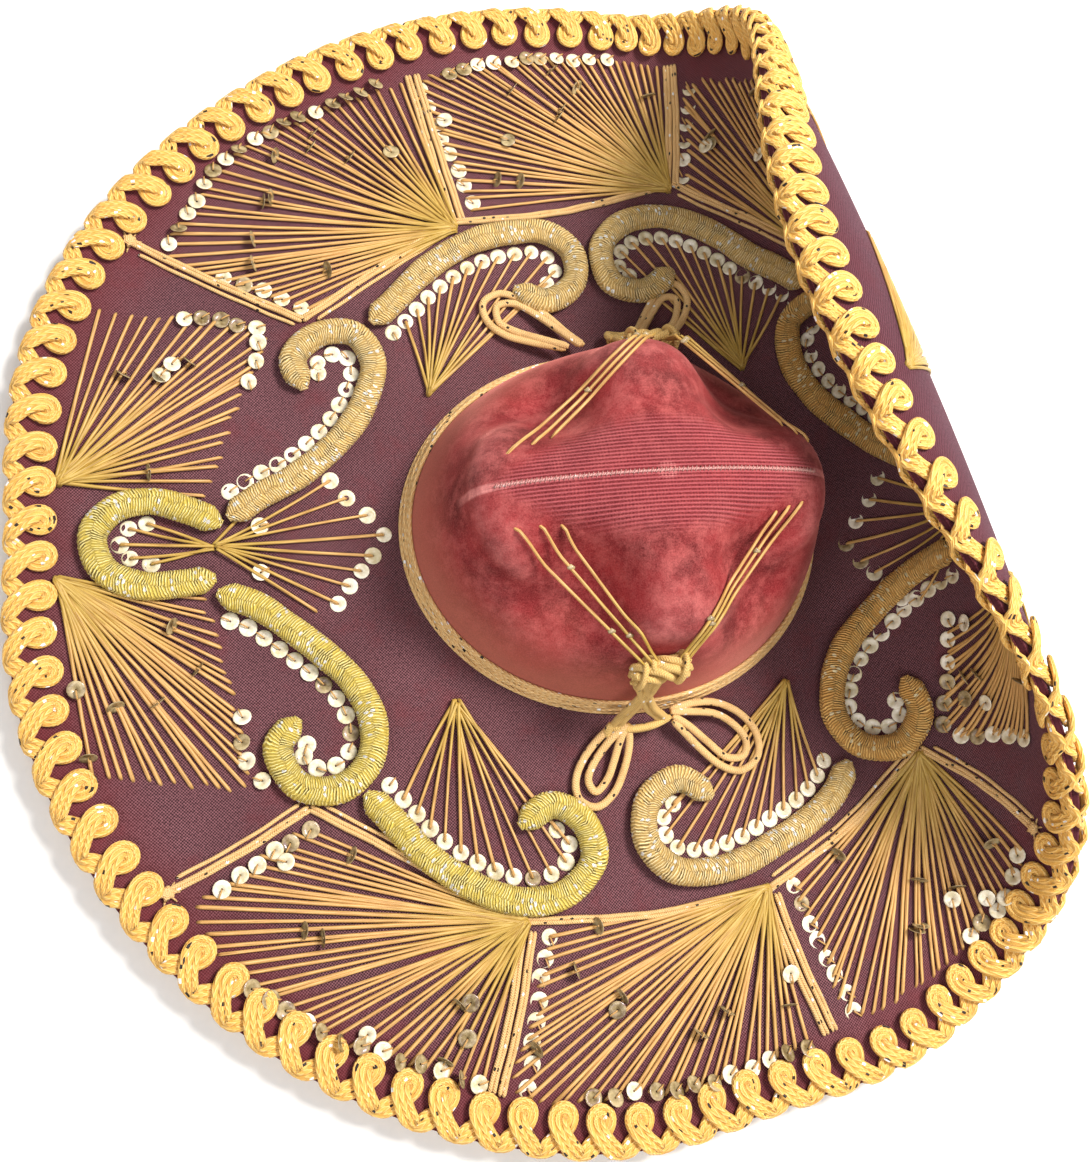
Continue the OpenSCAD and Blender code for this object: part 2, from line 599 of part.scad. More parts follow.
module scroll_sequins(path, offset, to) {
    sequin_row(part_of(beside(path, offset), 0.05, to));
}
module butterfly_sequins(x, y, side, shift) {
    for (q = concat(placed(butterfly_wide, x, y, side, 0), placed(butterfly_small, x, y, side, shift)))
        sequin(q[0], q[1], fan_height);
}
module sequins_front() {
    color(cream) {
        scroll_sequins(scroll_front_left_path, -10.3, 0.93);
        scroll_sequins(scroll_front_right_path, 10.3, 0.93);
        butterfly_sequins(-190, 2, -1, 0);
    }
}
module sequins_back() {
    color(cream) {
        scroll_sequins(scroll_back_left_path, 10.3, 0.93);
        scroll_sequins(scroll_back_right_path, -10.3, 0.93);
        butterfly_sequins(200, -19, 1, 5);
    }
}
module sequins_left() {
    color(cream) {
        scroll_sequins(side_front_left_path, 10.3, 0.86);
        scroll_sequins(side_back_left_path, -10.3, 0.86);
        sequin_row([[-55, -192], [-64, -218], [-71, -246]]);
        sequin_row([[66, -184], [75, -210], [83, -236]]);
        sequin_row([[-176, -104], [-184, -92], [-182, -78]]);
    }
}
module sequins_right() {
    color(cream) {
        scroll_sequins(side_front_right_path, -10.3, 0.86);
        scroll_sequins(side_back_right_path, 10.3, 0.86);
        sequin_row([[-53, 180], [-62, 208], [-70, 236]]);
        sequin_row([[65, 192], [71, 212], [78, 236]]);
        sequin_row([[-163, 102], [-166, 92], [-170, 82]]);
    }
}

crown_felt();
crown_velvet_left();
crown_velvet_right();
crown_seam();
crown_lining();
sweatband();
brim_felt();
brim_top_cloth();
brim_under_cloth();
rim_braid();
hatband_lower_cord();
hatband_plait();
hatband_upper_cord();
knot_left();
knot_right();
bow_left();
bow_right();
crown_threads_front_left();
crown_threads_back_left();
crown_threads_front_right();
crown_threads_back_right();
scroll_front();
scroll_back();
scroll_front_left();
scroll_back_left();
scroll_front_right();
scroll_back_right();
side_scroll_front_left();
side_scroll_back_left();
side_scroll_front_right();
side_scroll_back_right();
frame_cord_left();
frame_cord_right();
divider_cords_front_left();
divider_cords_back_left();
divider_cords_front_right();
divider_cords_back_right();
fan_inner_front_left();
fan_inner_back_left();
fan_inner_front_right();
fan_inner_back_right();
fan_butterfly_front();
fan_butterfly_back();
fan_front_left();
fan_front_right();
fan_back_left();
fan_back_right();
fan_corner_front_left();
fan_corner_back_left();
fan_corner_front_right();
fan_corner_back_right();
fan_side_left();
fan_side_right();
sequins_front();
sequins_back();
sequins_left();
sequins_right();
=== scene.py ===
import math
import random

import bpy
import numpy as np
from mathutils import Matrix, Vector


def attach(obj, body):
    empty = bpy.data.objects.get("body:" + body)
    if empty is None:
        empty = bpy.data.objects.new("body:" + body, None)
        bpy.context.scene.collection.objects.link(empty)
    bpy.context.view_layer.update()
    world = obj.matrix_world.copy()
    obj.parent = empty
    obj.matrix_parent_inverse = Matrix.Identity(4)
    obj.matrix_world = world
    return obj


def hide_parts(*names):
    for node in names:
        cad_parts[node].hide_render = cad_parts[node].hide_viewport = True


# A charro sombrero: dented velvet crown, canvas covered brim rolled up at the
# back, gold cord work, laid threads and sequins. Lengths below are millimetres,
# and every mesh is written in metres. Front is -X, the wearer's left is -Y.

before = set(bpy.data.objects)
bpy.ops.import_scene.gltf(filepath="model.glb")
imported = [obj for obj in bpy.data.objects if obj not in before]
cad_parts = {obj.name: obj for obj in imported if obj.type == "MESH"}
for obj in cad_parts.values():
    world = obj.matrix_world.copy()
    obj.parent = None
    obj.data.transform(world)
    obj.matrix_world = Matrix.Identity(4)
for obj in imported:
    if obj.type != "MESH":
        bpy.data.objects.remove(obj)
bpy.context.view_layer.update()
MM = 0.001
TURN = 2 * math.pi

# ---- Sizes, the same as in the part's source ----

CROWN_HALF_LENGTH, CROWN_HALF_WIDTH = 101.0, 87.0
CROWN_HEIGHT, SHOULDER_HEIGHT, TOP_RATIO = 97.0, 70.0, 0.82
DENT_REACH = 27.0
DENTS = [((-42, -50, 80), (13, 15, -24)), ((46, -44, 80), (-10, 13, -19)),
         ((-46, 48, 80), (12, -14, -21)), ((50, 46, 80), (-10, -12, -19))]
VELVET, CROWN_FELT, LINING, SWEATBAND, SWEATBAND_HEIGHT = 1.2, 2.2, 0.8, 1.4, 32.0
BRIM_RADIUS, BRIM_DISH, DISH_START = 284.0, 11.0, 150.0
RIM_SWELLS = [(178, -7, 11), (278, -7, 10), (148, 3, 14)]
CLOTH, FACE = 0.8, 3.8
ROLL_START, ROLL_RADIUS, ROLL_SLANT, ROLL_TAPER = 78.0, 70.0, -0.18, 0.0005
SCROLL_WIDTH, SCROLL_HEIGHT = 13.0, 8.5

# ---- Camera, lights and floor ----


def turned(z=0.0, y=0.0, x=0.0):
    return Matrix.Rotation(z, 3, "Z") @ Matrix.Rotation(y, 3, "Y") @ Matrix.Rotation(x, 3, "X")


def camera():
    data = bpy.data.cameras.new("camera")
    data.sensor_fit, data.sensor_width = "HORIZONTAL", 36
    data.lens = 42.93
    data.clip_start, data.clip_end = 0.02, 20
    eye = bpy.data.objects.new("camera", data)
    bpy.context.collection.objects.link(eye)
    lean = turned(z=math.radians(-3))
    place = lean @ Vector((-171.7, -170.2, 599.5)) * MM
    eye.matrix_world = Matrix.Translation(place) @ (lean @ turned(-0.066, -0.21, 0.247)).to_4x4()
    bpy.context.scene.camera = eye


def soft_light(name, place, size, power, colour, aim=(0, 0, 0)):
    data = bpy.data.lights.new(name, "AREA")
    data.shape, data.size = "DISK", size
    data.energy, data.color = power, colour
    lamp = bpy.data.objects.new(name, data)
    lamp.location = place
    lamp.rotation_euler = (Vector(aim) - Vector(place)).to_track_quat("-Z", "Y").to_euler()
    bpy.context.collection.objects.link(lamp)


def studio():
    soft_light("overhead softbox", (0.8, 0.35, 1.5), 0.6, 47, (1, 0.97, 0.93), aim=(0, 0, 0.03))
    soft_light("front fill", (-1.3, -0.7, 1.3), 1.6, 8, (1, 0.99, 0.98))
    soft_light("camera side fill", (-0.1, -1.2, 1.6), 1.0, 11, (1, 0.98, 0.96))
    world = bpy.data.worlds.new("studio")
    world.use_nodes = True
    world.node_tree.nodes["Background"].inputs[0].default_value = (0.95, 0.96, 1.0, 1)
    world.node_tree.nodes["Background"].inputs[1].default_value = 0.42
    bpy.context.scene.world = world
    bpy.context.scene.view_settings.view_transform = "Standard"


# ---- Materials ----

KNIT_ROW, KNIT_STITCH = 0.0017, 0.0015
LENS_HALF_LENGTH, LENS_HALF_WIDTH = 0.078, 0.027
WEAVE_PITCH = 0.0014
WRAP_STITCH_LENGTH, WRAP_STITCH_WIDTH, WRAP_STEP = 0.0058, 0.00122, 0.00047
CORD_FACE = 0.0014


def hex_colour(code):
    parts = [int(code[i:i + 2], 16) / 255 for i in (1, 3, 5)]
    return [c / 12.92 if c <= 0.04045 else ((c + 0.055) / 1.055) ** 2.4 for c in parts] + [1.0]


class Value:
    """One output of a material's nodes. Arithmetic and comparison add math nodes."""

    def __init__(self, paint, socket):
        self.paint, self.socket = paint, socket

    def math(self, kind, other=0.0):
        return self.paint.add("Math", 0, {0: self, 1: other}, operation=kind)

    def __add__(self, other):
        return self.math("ADD", other)

    def __sub__(self, other):
        return self.math("SUBTRACT", other)

    def __mul__(self, other):
        return self.math("MULTIPLY", other)

    def __truediv__(self, other):
        return self.math("DIVIDE", other)

    def __gt__(self, other):
        return self.math("GREATER_THAN", other)

    def __lt__(self, other):
        return self.math("LESS_THAN", other)

    def wave(self, pitch):
        return (self * (TURN / pitch)).math("SINE")

    def ramp(self, low, high):
        return self.paint.add("MapRange", 0, {"Value": self, "From Min": low, "From Max": high})

    def parts(self):
        return [Value(self.paint, s) for s in self.paint.node("SeparateXYZ", {0: self}).outputs]

    def noise(self, scale, detail=3.0, rough=0.55):
        inputs = {"Vector": self, "Scale": scale, "Detail": detail, "Roughness": rough}
        return self.paint.add("TexNoise", 0, inputs)

    def scaled(self, along, across):
        return self.paint.add("Mapping", 0, {"Vector": self, "Scale": (along, across, 1.0)})

    def cells(self, along, across):
        """Scattered cells: two random values for each, and the distance from its middle."""
        places = {"Vector": self.scaled(along, across), "Scale": 1.0}
        cell = self.paint.node("TexVoronoi", places, voronoi_dimensions="2D").outputs
        pick = self.paint.node("SeparateColor", {0: Value(self.paint, cell["Color"])}).outputs
        return [Value(self.paint, s) for s in (pick[0], pick[1], cell["Distance"])]


class Paint:
    """A material with one Principled shader, whose constants sit on its own sockets."""

    def __init__(self, name, **constants):
        self.material = bpy.data.materials.new(name)
        self.material.use_nodes = True
        self.tree = self.material.node_tree
        self.shader = self.tree.nodes["Principled BSDF"]
        for key, value in constants.items():
            self.put(self.shader.inputs[key.replace("_", " ")], value)

    def put(self, socket, value):
        """Gives an input a constant, a colour code or the value that feeds it."""
        if isinstance(value, Value):
            self.tree.links.new(value.socket, socket)
        else:
            socket.default_value = hex_colour(value) if isinstance(value, str) else value

    def node(self, kind, inputs=None, **settings):
        made = self.tree.nodes.new("ShaderNode" + kind)
        for name, value in settings.items():
            setattr(made, name, value)
        for name, value in (inputs or {}).items():
            self.put(made.inputs[name], value)
        return made

    def add(self, kind, output, inputs=None, **settings):
        return Value(self, self.node(kind, inputs, **settings).outputs[output])

    def place(self):
        return self.add("TexCoord", "Object")

    def map(self, name):
        return self.add("UVMap", 0, uv_map=name)

    def blend(self, factor, a, b):
        return self.add("Mix", 2, {"Factor": factor, 6: a, 7: b}, data_type="RGBA", blend_type="MIX")

    def finish(self, colour, height=None, depth=0.0, strength=1.0, **others):
        """Feeds the shader its colour, its other values and its relief."""
        for key, value in {"Base Color": colour, **others}.items():
            self.put(self.shader.inputs[key], value)
        if height is not None:
            lift = {"Height": height, "Distance": depth, "Strength": strength}
            self.put(self.shader.inputs["Normal"], self.add("Bump", 0, lift))
        return self.material


def velvet_finish():
    # Crushed cotton velvet: deep where the pile faces the eye, pale and brownish on the
    # wall where it lies flat, knit backing rows showing on the stretched top.
    paint = Paint("crushed pink red velvet", Roughness=0.85, Specular_IOR_Level=0.15,
                  Sheen_Weight=0.55, Sheen_Roughness=0.35, Sheen_Tint="#F09890")
    place = paint.place()
    x, y, z = place.parts()
    side = y.math("ABSOLUTE")
    row, stitch = y.wave(KNIT_ROW), x.wave(KNIT_STITCH)
    bulge = (x / LENS_HALF_LENGTH).math("POWER", 2.0)
    lens = paint.add("Math", 0, {0: 1.0, 1: bulge}, operation="SUBTRACT")
    inside = (lens * LENS_HALF_WIDTH - side).ramp(-0.001, 0.006)
    high = z.ramp(0.06, 0.075)
    stretched = inside * high
    patches, crush, pile = place.noise(26, 5, 0.6), place.noise(95, 6, 0.72), place.noise(1500, 2, 0.7)
    colour = paint.blend(patches.ramp(0.38, 0.66), "#520D10", "#9A2C30")
    colour = paint.blend(crush.ramp(0.46, 0.66) * 0.5, colour, "#CC6864")
    lower = (z + patches * 0.016).ramp(0.062, 0.03)
    colour = paint.blend(lower * 0.85, colour, "#C47460")
    # painted highlight: pale along the ridges, but not where the two halves meet on the front wall
    ridge_highlight = paint.add("NewGeometry", "Pointiness").ramp(0.5015, 0.524)
    clear = side.ramp(0.002, 0.005).math("MAXIMUM", high)
    colour = paint.blend(ridge_highlight * (clear * crush.ramp(0.22, 0.58)), colour, "#EE9C96")
    gap = (row + stitch * 0.4).ramp(0.1, -0.7)
    colour = paint.blend(stretched * row.ramp(-0.2, 1.0), colour, "#A8545A")
    colour = paint.blend(stretched * gap, colour, "#5E181E")
    colour = paint.blend(pile.ramp(0.35, 0.75), paint.blend(0.25, colour, "#2E0409"),
                         paint.blend(0.25, colour, "#D46A68"))
    return paint.finish(colour, pile * 0.6 + stretched * row * 0.5, 0.0004, 0.7)


def canvas_finish(name, light, dark, worn_colour):
    # Plain-woven cotton duck, dyed maroon: 1.4 mm warp and weft, drawn as coarse as it shows,
    # rubbed redder towards the rim and in broad stains.
    paint = Paint(name, Roughness=0.82, Specular_IOR_Level=0.25,
                  Sheen_Weight=0.25, Sheen_Roughness=0.5, Sheen_Tint="#C79AB0")
    flat = paint.map("flat")
    wobble = paint.add("TexNoise", "Color", {"Vector": flat, "Scale": 45.0, "Detail": 2.0})
    moved = paint.add("VectorMath", 0, {0: wobble, 1: (0.0012, 0.0012, 0.0)}, operation="MULTIPLY")
    lay = paint.add("VectorMath", 0, {0: flat, 1: moved}, operation="ADD")
    x, y, _ = lay.parts()
    thread = x.wave(WEAVE_PITCH) * y.wave(WEAVE_PITCH) * 0.5 + 0.5
    slub, mottle = lay.noise(900, 2, 0.6), flat.noise(14, 4, 0.6)
    colour = paint.blend((thread * slub).ramp(0.09, 0.44), dark, light)
    reach = paint.add("VectorMath", "Value", {0: flat}, operation="LENGTH")
    rubbed = (reach + mottle * 0.05).ramp(0.268, 0.312)
    stain = flat.noise(30, 5, 0.7).ramp(0.52, 0.68)
    colour = paint.blend(rubbed * 0.75, colour, worn_colour)
    colour = paint.blend(stain * 0.35, colour, worn_colour)
    colour = paint.blend(mottle.ramp(0.3, 0.75) * 0.35, colour, dark)
    return paint.finish(colour, thread + slub * 0.5, 0.0005, 0.9)


def wrap_finish(name, light, mid, dark, glint_colour="#FFFDF2"):
    # Rayon and Lurex thread wound tightly round a cotton core: slanting stitches 1.2 mm wide
    # and 6 mm long in offset rows, dark slits between some, and metallic flecks coloured near white as
    # painted glints.
    paint = Paint(name, Roughness=0.4, Specular_IOR_Level=0.5, Sheen_Weight=0.15,
                  Sheen_Roughness=0.3, Sheen_Tint="#FFE9A8")
    along = paint.map("along")
    x, y, _ = along.parts()
    drift = along.noise(140, 3, 0.6)
    around = y / WRAP_STITCH_LENGTH + drift * 0.9
    column = around.math("FLOOR")
    edge = (around.math("FRACT") - 0.5).math("ABSOLUTE")
    slant = (column * 2.4).math("SINE") * 0.32
    wound = x + y * slant + column * WRAP_STEP
    wave = ((wound / WRAP_STITCH_WIDTH + drift * 2.2) * TURN).math("SINE")
    pick, other, away = along.cells(540.0, 380.0)
    glint_fleck = (pick > 0.905) * (away < 0.4)
    slit = (other > 0.78) * wave.ramp(-0.5, -1.1)
    colour = paint.blend(wave.ramp(-1.0, 0.0), paint.blend(0.5, mid, dark), mid)
    colour = paint.blend(wave.ramp(0.0, 1.0) * other.ramp(0.0, 0.7), colour, light)
    colour = paint.blend(edge.ramp(0.36, 0.5) * 0.35, colour, dark)
    colour = paint.blend(slit, colour, "#4A3410")
    # painted glint: the flecks are coloured near white
    colour = paint.blend(glint_fleck, colour, glint_colour)
    return paint.finish(colour, wave + glint_fleck * 0.8 - slit * 1.5, 0.0004,
                        Metallic=glint_fleck * 0.3, Roughness=glint_fleck.ramp(1.6, -0.4))


def cord_finish(name, light, mid, dark, specks=0.955, pitch=0.0011):
    # Braided rayon cord: a fine knitted face, darker in random patches, and a silver or
    # blackened metallic speck every centimetre or so, the silver ones coloured white as painted glints.
    paint = Paint(name, Roughness=0.55, Specular_IOR_Level=0.4, Sheen_Weight=0.25,
                  Sheen_Roughness=0.35, Sheen_Tint="#FFE2A6")
    along = paint.map("along")
    x, y, _ = along.parts()
    wave = (x + y.math("PINGPONG", CORD_FACE) * 0.7).wave(pitch)
    dark_patches, fibre = along.noise(110, 4, 0.65), along.noise(1300, 3, 0.7)
    pick, _, away = along.cells(400.0, 480.0)
    near = away < 0.34
    glint_fleck, speck = (pick > specks) * near, (pick < 1 - specks) * near
    colour = paint.blend(fibre.ramp(0.3, 0.62), paint.blend(0.45, mid, dark), mid)
    colour = paint.blend(wave.ramp(0.0, 1.0) * 0.6, colour, light)
    colour = paint.blend(dark_patches.ramp(0.5, 0.8) * 0.55, colour, dark)
    colour = paint.blend(speck, colour, "#2A2018")
    # painted glint: the silver flecks are coloured near white
    colour = paint.blend(glint_fleck, colour, "#FAFAF6")
    return paint.finish(colour, wave + fibre, 0.00022, 0.8, Metallic=glint_fleck * 0.4)


def thread_finish(name, tan, lemon, dark):
    # Rayon floss pulled taut: fine streaks along its length, the light ones painted highlights,
    # a lemon cast where the strands crowd together at the gathering hole and tan where they are single.
    paint = Paint(name, Roughness=0.45, Specular_IOR_Level=0.45, Sheen_Weight=0.2,
                  Sheen_Roughness=0.35, Sheen_Tint="#FFE2A6")
    along = paint.map("along")
    x, _, _ = along.parts()
    streak, tint = along.scaled(70.0, 2400.0).noise(1.0, 3), along.scaled(9.0, 70.0).noise(1.0, 2)
    colour = paint.blend((x - tint * 0.09).ramp(0.015, -0.03), tan, lemon)
    colour = paint.blend(streak.ramp(0.55, 0.25), colour, dark)
    # painted highlight: light streaks along the floss
    colour = paint.blend(streak.ramp(0.5, 0.8) * 0.4, colour, "#F8DA9C")
    return paint.finish(colour, streak, 0.00025, 0.6)


def pearl_finish(name, pale, deep):
    # Vacuum-formed pearl sequin: cream film, mottled, glossy and slightly cupped.
    paint = Paint(name, Roughness=0.22, IOR=1.5, Coat_Weight=0.5, Coat_Roughness=0.12,
                  Thin_Film_Thickness=320.0)
    place = paint.place()
    mottle, broad = place.noise(420, 3, 0.6), place.noise(70, 2, 0.5)
    colour = paint.blend((mottle + broad).ramp(0.75, 1.25), deep, pale)
    return paint.finish(colour, Roughness=mottle.ramp(-0.6, 1.8))


def plain_cloth(name, light, dark, pitch, rough=0.9):
    # Felt, lining or leather seen only from below: fibre or weave at its own scale.
    paint = Paint(name, Roughness=rough, Specular_IOR_Level=0.25)
    place = paint.place()
    fibre, broad = place.noise(1 / pitch, 5, 0.7), place.noise(18, 3, 0.5)
    colour = paint.blend((fibre + broad).ramp(0.7, 1.3), dark, light)
    return paint.finish(colour, fibre, pitch * 0.4, 0.6)


def floor_finish():
    paint = Paint("matt white paper", Roughness=0.95, Specular_IOR_Level=0.1)
    return paint.finish(paint.blend(paint.place().noise(300, 2), "#F4F4F3", "#FAFAF9"))


# ---- Surfaces ----


def on_brim(x, y, h):
    x, y, h = np.broadcast_arrays(*(np.asarray(v, float) for v in (x, y, h)))
    fold = ROLL_START + ROLL_SLANT * y
    radius = ROLL_RADIUS / (1 + ROLL_TAPER * y)
    turn = np.maximum(x - fold, 0) / radius
    reach = np.maximum(np.hypot(x, y) - DISH_START, 0) / (BRIM_RADIUS - DISH_START)
    z = BRIM_DISH * reach ** 2 + h
    return np.stack([np.minimum(x, fold) + (radius - z) * np.sin(turn), y,
                     radius - (radius - z) * np.cos(turn)], -1)


def rim_radius(angle):
    """The rim is a little flattened at the front and on the left, and swells between front and right."""
    swell = 0
    for middle, push, reach in RIM_SWELLS:
        swell = swell + push * np.exp(-((np.degrees(angle) % 360 - middle) / reach) ** 2)
    return BRIM_RADIUS + swell


def brim_up(x, y, h=0.0):
    up = on_brim(x, y, np.asarray(h) + 1) - on_brim(x, y, h)
    return up / np.linalg.norm(up, axis=-1, keepdims=True)


def crown_profile():
    """Half width as a ratio, and height, from the top centre down to the foot, with the shoulder eased."""
    t = np.linspace(0, 1, 401)
    bow = np.clip(t / 0.5, 0, 1) * math.pi / 2
    u = np.clip((t - 0.5) / 0.5, 0, 1)
    ratio = np.where(t < 0.5, TOP_RATIO * np.sin(bow) ** 0.85, 1 - (1 - TOP_RATIO) * (1 - u) ** 1.3)
    height = np.where(t < 0.5, SHOULDER_HEIGHT + (CROWN_HEIGHT - SHOULDER_HEIGHT) * np.cos(bow) ** 0.8,
                      SHOULDER_HEIGHT * (1 - u))
    weight = np.exp(-(np.arange(-40, 41) / 15.0) ** 2)
    weight /= weight.sum()
    steady = np.clip(np.minimum(t - 0.1, 1 - t) / 0.15, 0, 1)
    for line in (ratio, height):
        eased = np.convolve(np.pad(line, 40, mode="edge"), weight, mode="valid")
        line += steady * (eased - line)
    return t, ratio, height


PROFILE = crown_profile()


def plain_crown(angle, t, inset):
    ratio, height = np.interp(t, PROFILE[0], PROFILE[1]), np.interp(t, PROFILE[0], PROFILE[2])
    return np.stack([(CROWN_HALF_LENGTH - inset) * ratio * np.cos(angle),
                     (CROWN_HALF_WIDTH - inset) * ratio * np.sin(angle),
                     height * (1 - inset / CROWN_HEIGHT)], -1)


def on_crown(angle, t, inset=0.0):
    angle, t = np.broadcast_arrays(np.asarray(angle, float), np.asarray(t, float))
    plain, start = plain_crown(angle, t, inset), plain_crown(angle, t, 0.0)
    for centre, push in DENTS:
        near = np.exp(-(np.linalg.norm(start - np.array(centre), axis=-1) / DENT_REACH) ** 2)
        plain = plain + near[..., None] * np.array(push)
    return plain


def foot_height(angle):
    return on_brim(CROWN_HALF_LENGTH * np.cos(angle), CROWN_HALF_WIDTH * np.sin(angle), FACE)[..., 2]


def above_brim(angle, t, inset):
    p = on_crown(angle, t, inset)
    foot, down = foot_height(angle), np.clip(2 * np.asarray(t) - 1, 0, 1)
    raised = np.maximum(p[..., 2], 0) * (1 - foot / SHOULDER_HEIGHT * down) + foot * down
    p[..., 2] = np.where(down > 0, raised, p[..., 2])
    return p


def curve(points, times):
    """A smooth line through every point but the first and last, at these times between each two."""
    fine = []
    for a, b, c, d in zip(points[:-3], points[1:-2], points[2:-1], points[3:]):
        for t in times:
            fine.append(0.5 * (2 * b + (c - a) * t + (2 * a - 5 * b + 4 * c - d) * t ** 2
                               + (3 * b - 3 * c + d - a) * t ** 3))
    return fine


def distance(line):
    """How far along a line each of its points is."""
    return np.concatenate([[0], np.cumsum(np.linalg.norm(np.diff(line, axis=0), axis=1))])


def upright(count):
    return np.tile([0.0, 0.0, 1.0], (count, 1))


def route(points, step):
    """Smooth line through given points, resampled every step millimetres."""
    p = np.asarray(points, float)
    p = np.vstack([2 * p[0] - p[1], p, 2 * p[-1] - p[-2]])
    fine = np.array(curve(p, np.linspace(0, 1, 24, endpoint=False)) + [p[-2]])
    run = distance(fine)
    at = np.linspace(0, run[-1], max(int(round(run[-1] / step)), 2) + 1)
    return np.stack([np.interp(at, run, fine[:, k]) for k in range(p.shape[1])], 1)


def beside(path, offset):
    """A flat line kept a fixed distance to the left of another."""
    ahead = np.gradient(path, axis=0)
    ahead /= np.linalg.norm(ahead, axis=1)[:, None]
    return path + offset * np.stack([-ahead[:, 1], ahead[:, 0]], 1)


# ---- Making pieces ----


def settle(piece, material, slot, *nodes):
    """Gives a finished piece its material and its body, and hides the CAD parts it stands for."""
    if material is not None:
        piece.data.materials.append(material)
    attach(piece, "root")
    if nodes:
        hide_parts(*nodes)
    return piece


def deselect():
    if bpy.context.mode != "OBJECT":
        bpy.ops.object.mode_set(mode="OBJECT")
    bpy.ops.object.select_all(action="DESELECT")


def apply_modifier(piece, kind, **settings):
    deselect()
    bpy.context.view_layer.objects.active = piece
    piece.select_set(True)
    made = piece.modifiers.new(kind.lower(), kind)
    for name, value in settings.items():
        setattr(made, name, value)
    bpy.ops.object.modifier_apply(modifier=made.name)


def cloth_sheet(name, across, along, place, flat, thickness):
    """A woven sheet: a flat grid laid over a surface, joined edge to edge, then given its thickness."""
    deselect()
    bpy.ops.mesh.primitive_grid_add(x_subdivisions=across, y_subdivisions=along, size=2)
    piece = bpy.context.object
    piece.name = piece.data.name = name
    mesh = piece.data
    spot = np.empty(len(mesh.vertices) * 3)
    mesh.vertices.foreach_get("co", spot)
    u, v = (spot.reshape(-1, 3)[:, :2].T + 1) / 2
    mesh.vertices.foreach_set("co", (place(u, v) * MM).ravel())
    layer = mesh.uv_layers[0]
    layer.name = "flat"
    corner = np.empty(len(mesh.loops), int)
    mesh.loops.foreach_get("vertex_index", corner)
    layer.data.foreach_set("uv", (flat(u, v)[corner] * MM).ravel())
    bpy.ops.object.mode_set(mode="EDIT")
    bpy.ops.mesh.select_all(action="SELECT")
    bpy.ops.mesh.remove_doubles(threshold=0.00002)
    bpy.ops.mesh.normals_make_consistent(inside=False)
    bpy.ops.object.mode_set(mode="OBJECT")
    bpy.ops.object.shade_smooth()
    apply_modifier(piece, "SOLIDIFY", thickness=thickness * MM, offset=0)
    bpy.ops.object.shade_smooth_by_angle(angle=math.radians(45))
    return piece


def strand(centre, up, side=0.0, lift=0.0, width=2.0, height=2.0, sides=8, ripple=None, blunt=0.5,
           closed=False):
    """One round or flat strand along a line: points, faces and the distance along and around."""
    n = len(centre)
    if closed:
        ahead = np.roll(centre, -1, 0) - np.roll(centre, 1, 0)
    else:
        ahead = np.gradient(centre, axis=0)
    ahead /= np.linalg.norm(ahead, axis=1)[:, None] + 1e-12
    across = np.cross(up, ahead)
    across /= np.linalg.norm(across, axis=1)[:, None] + 1e-12
    up = np.cross(ahead, across)
    run = distance(centre)
    a = np.arange(sides) * TURN / sides
    size = np.ones(n)
    if not closed:
        from_end = np.minimum(run, run[-1] - run) / (width * 0.5 + 1e-9)
        size = np.clip(np.sqrt(np.clip(from_end, 0, 1)), blunt, 1)
    side = np.broadcast_to(side, n)[:, None, None]
    lift = np.broadcast_to(lift, n)[:, None, None]
    swell = np.ones((n, sides)) if ripple is None else 1 + ripple(run[:, None], a[None, :])
    out = (width / 2 * size[:, None] * swell * np.cos(a))[..., None]
    rise = (height / 2 * size[:, None] * swell * np.sin(a))[..., None]
    points = centre[:, None] + across[:, None] * (side + out) + up[:, None] * (lift + rise)
    i = np.arange(n if closed else n - 1)[:, None]
    j = np.arange(sides)[None, :]
    k, i2 = (j + 1) % sides, (i + 1) % n
    faces = np.stack([i * sides + j, i * sides + k, i2 * sides + k, i2 * sides + j], -1).reshape(-1, 4)
    round_length = math.pi * (width + height) / 2 / sides
    here, ahead_run = run[i % n], run[i % n] + 0.3 if closed else run[i2]
    u = np.stack(np.broadcast_arrays(here, here, ahead_run, ahead_run), -1)
    u = np.broadcast_to(u, (len(i), sides, 4))
    v = np.stack(np.broadcast_arrays(j, j + 1, j + 1, j), -1)
    v = np.broadcast_to(v, (len(i), sides, 4)) * round_length
    uv = np.stack([u, v], -1).reshape(-1, 2)
    caps = [] if closed else [list(range(sides))[::-1], [(n - 1) * sides + s for s in range(sides)]]
    return points.reshape(-1, 3), faces, uv, caps


def gathered(name, strands, kinds=None):
    """One mesh from many strands, with their lengths kept in the map named along."""
    points, faces, uv, marks, base = [], [], [], [], 0
    for index, (p, f, m, caps) in enumerate(strands):
        points.append(p)
        faces += (f + base).tolist()
        uv.append(m + np.array([0.0, 17.3 * (index % 97)]))
        kind = 0 if kinds is None else kinds[index]
        marks += [kind] * len(f)
        for cap in caps:
            faces.append([c + base for c in cap])
            uv.append(np.zeros((len(cap), 2)))
            marks.append(kind)
        base += len(p)
    mesh = bpy.data.meshes.new(name)
    mesh.from_pydata((np.vstack(points) * MM).tolist(), [], faces)
    layer = mesh.uv_layers.new(name="along")
    layer.data.foreach_set("uv", (np.vstack(uv) * MM).ravel())
    mesh.polygons.foreach_set("material_index", marks)
    mesh.polygons.foreach_set("use_smooth", [True] * len(faces))
    piece = bpy.data.objects.new(name, mesh)
    bpy.context.collection.objects.link(piece)
    return piece


def laid(path, height=0.0):
    """Centre line and upward direction of a flat route lying on the brim."""
    h = FACE + np.broadcast_to(height, len(path))
    return on_brim(path[:, 0], path[:, 1], h), brim_up(path[:, 0], path[:, 1], h)


# ---- Routes on the brim, as if it lay flat ----

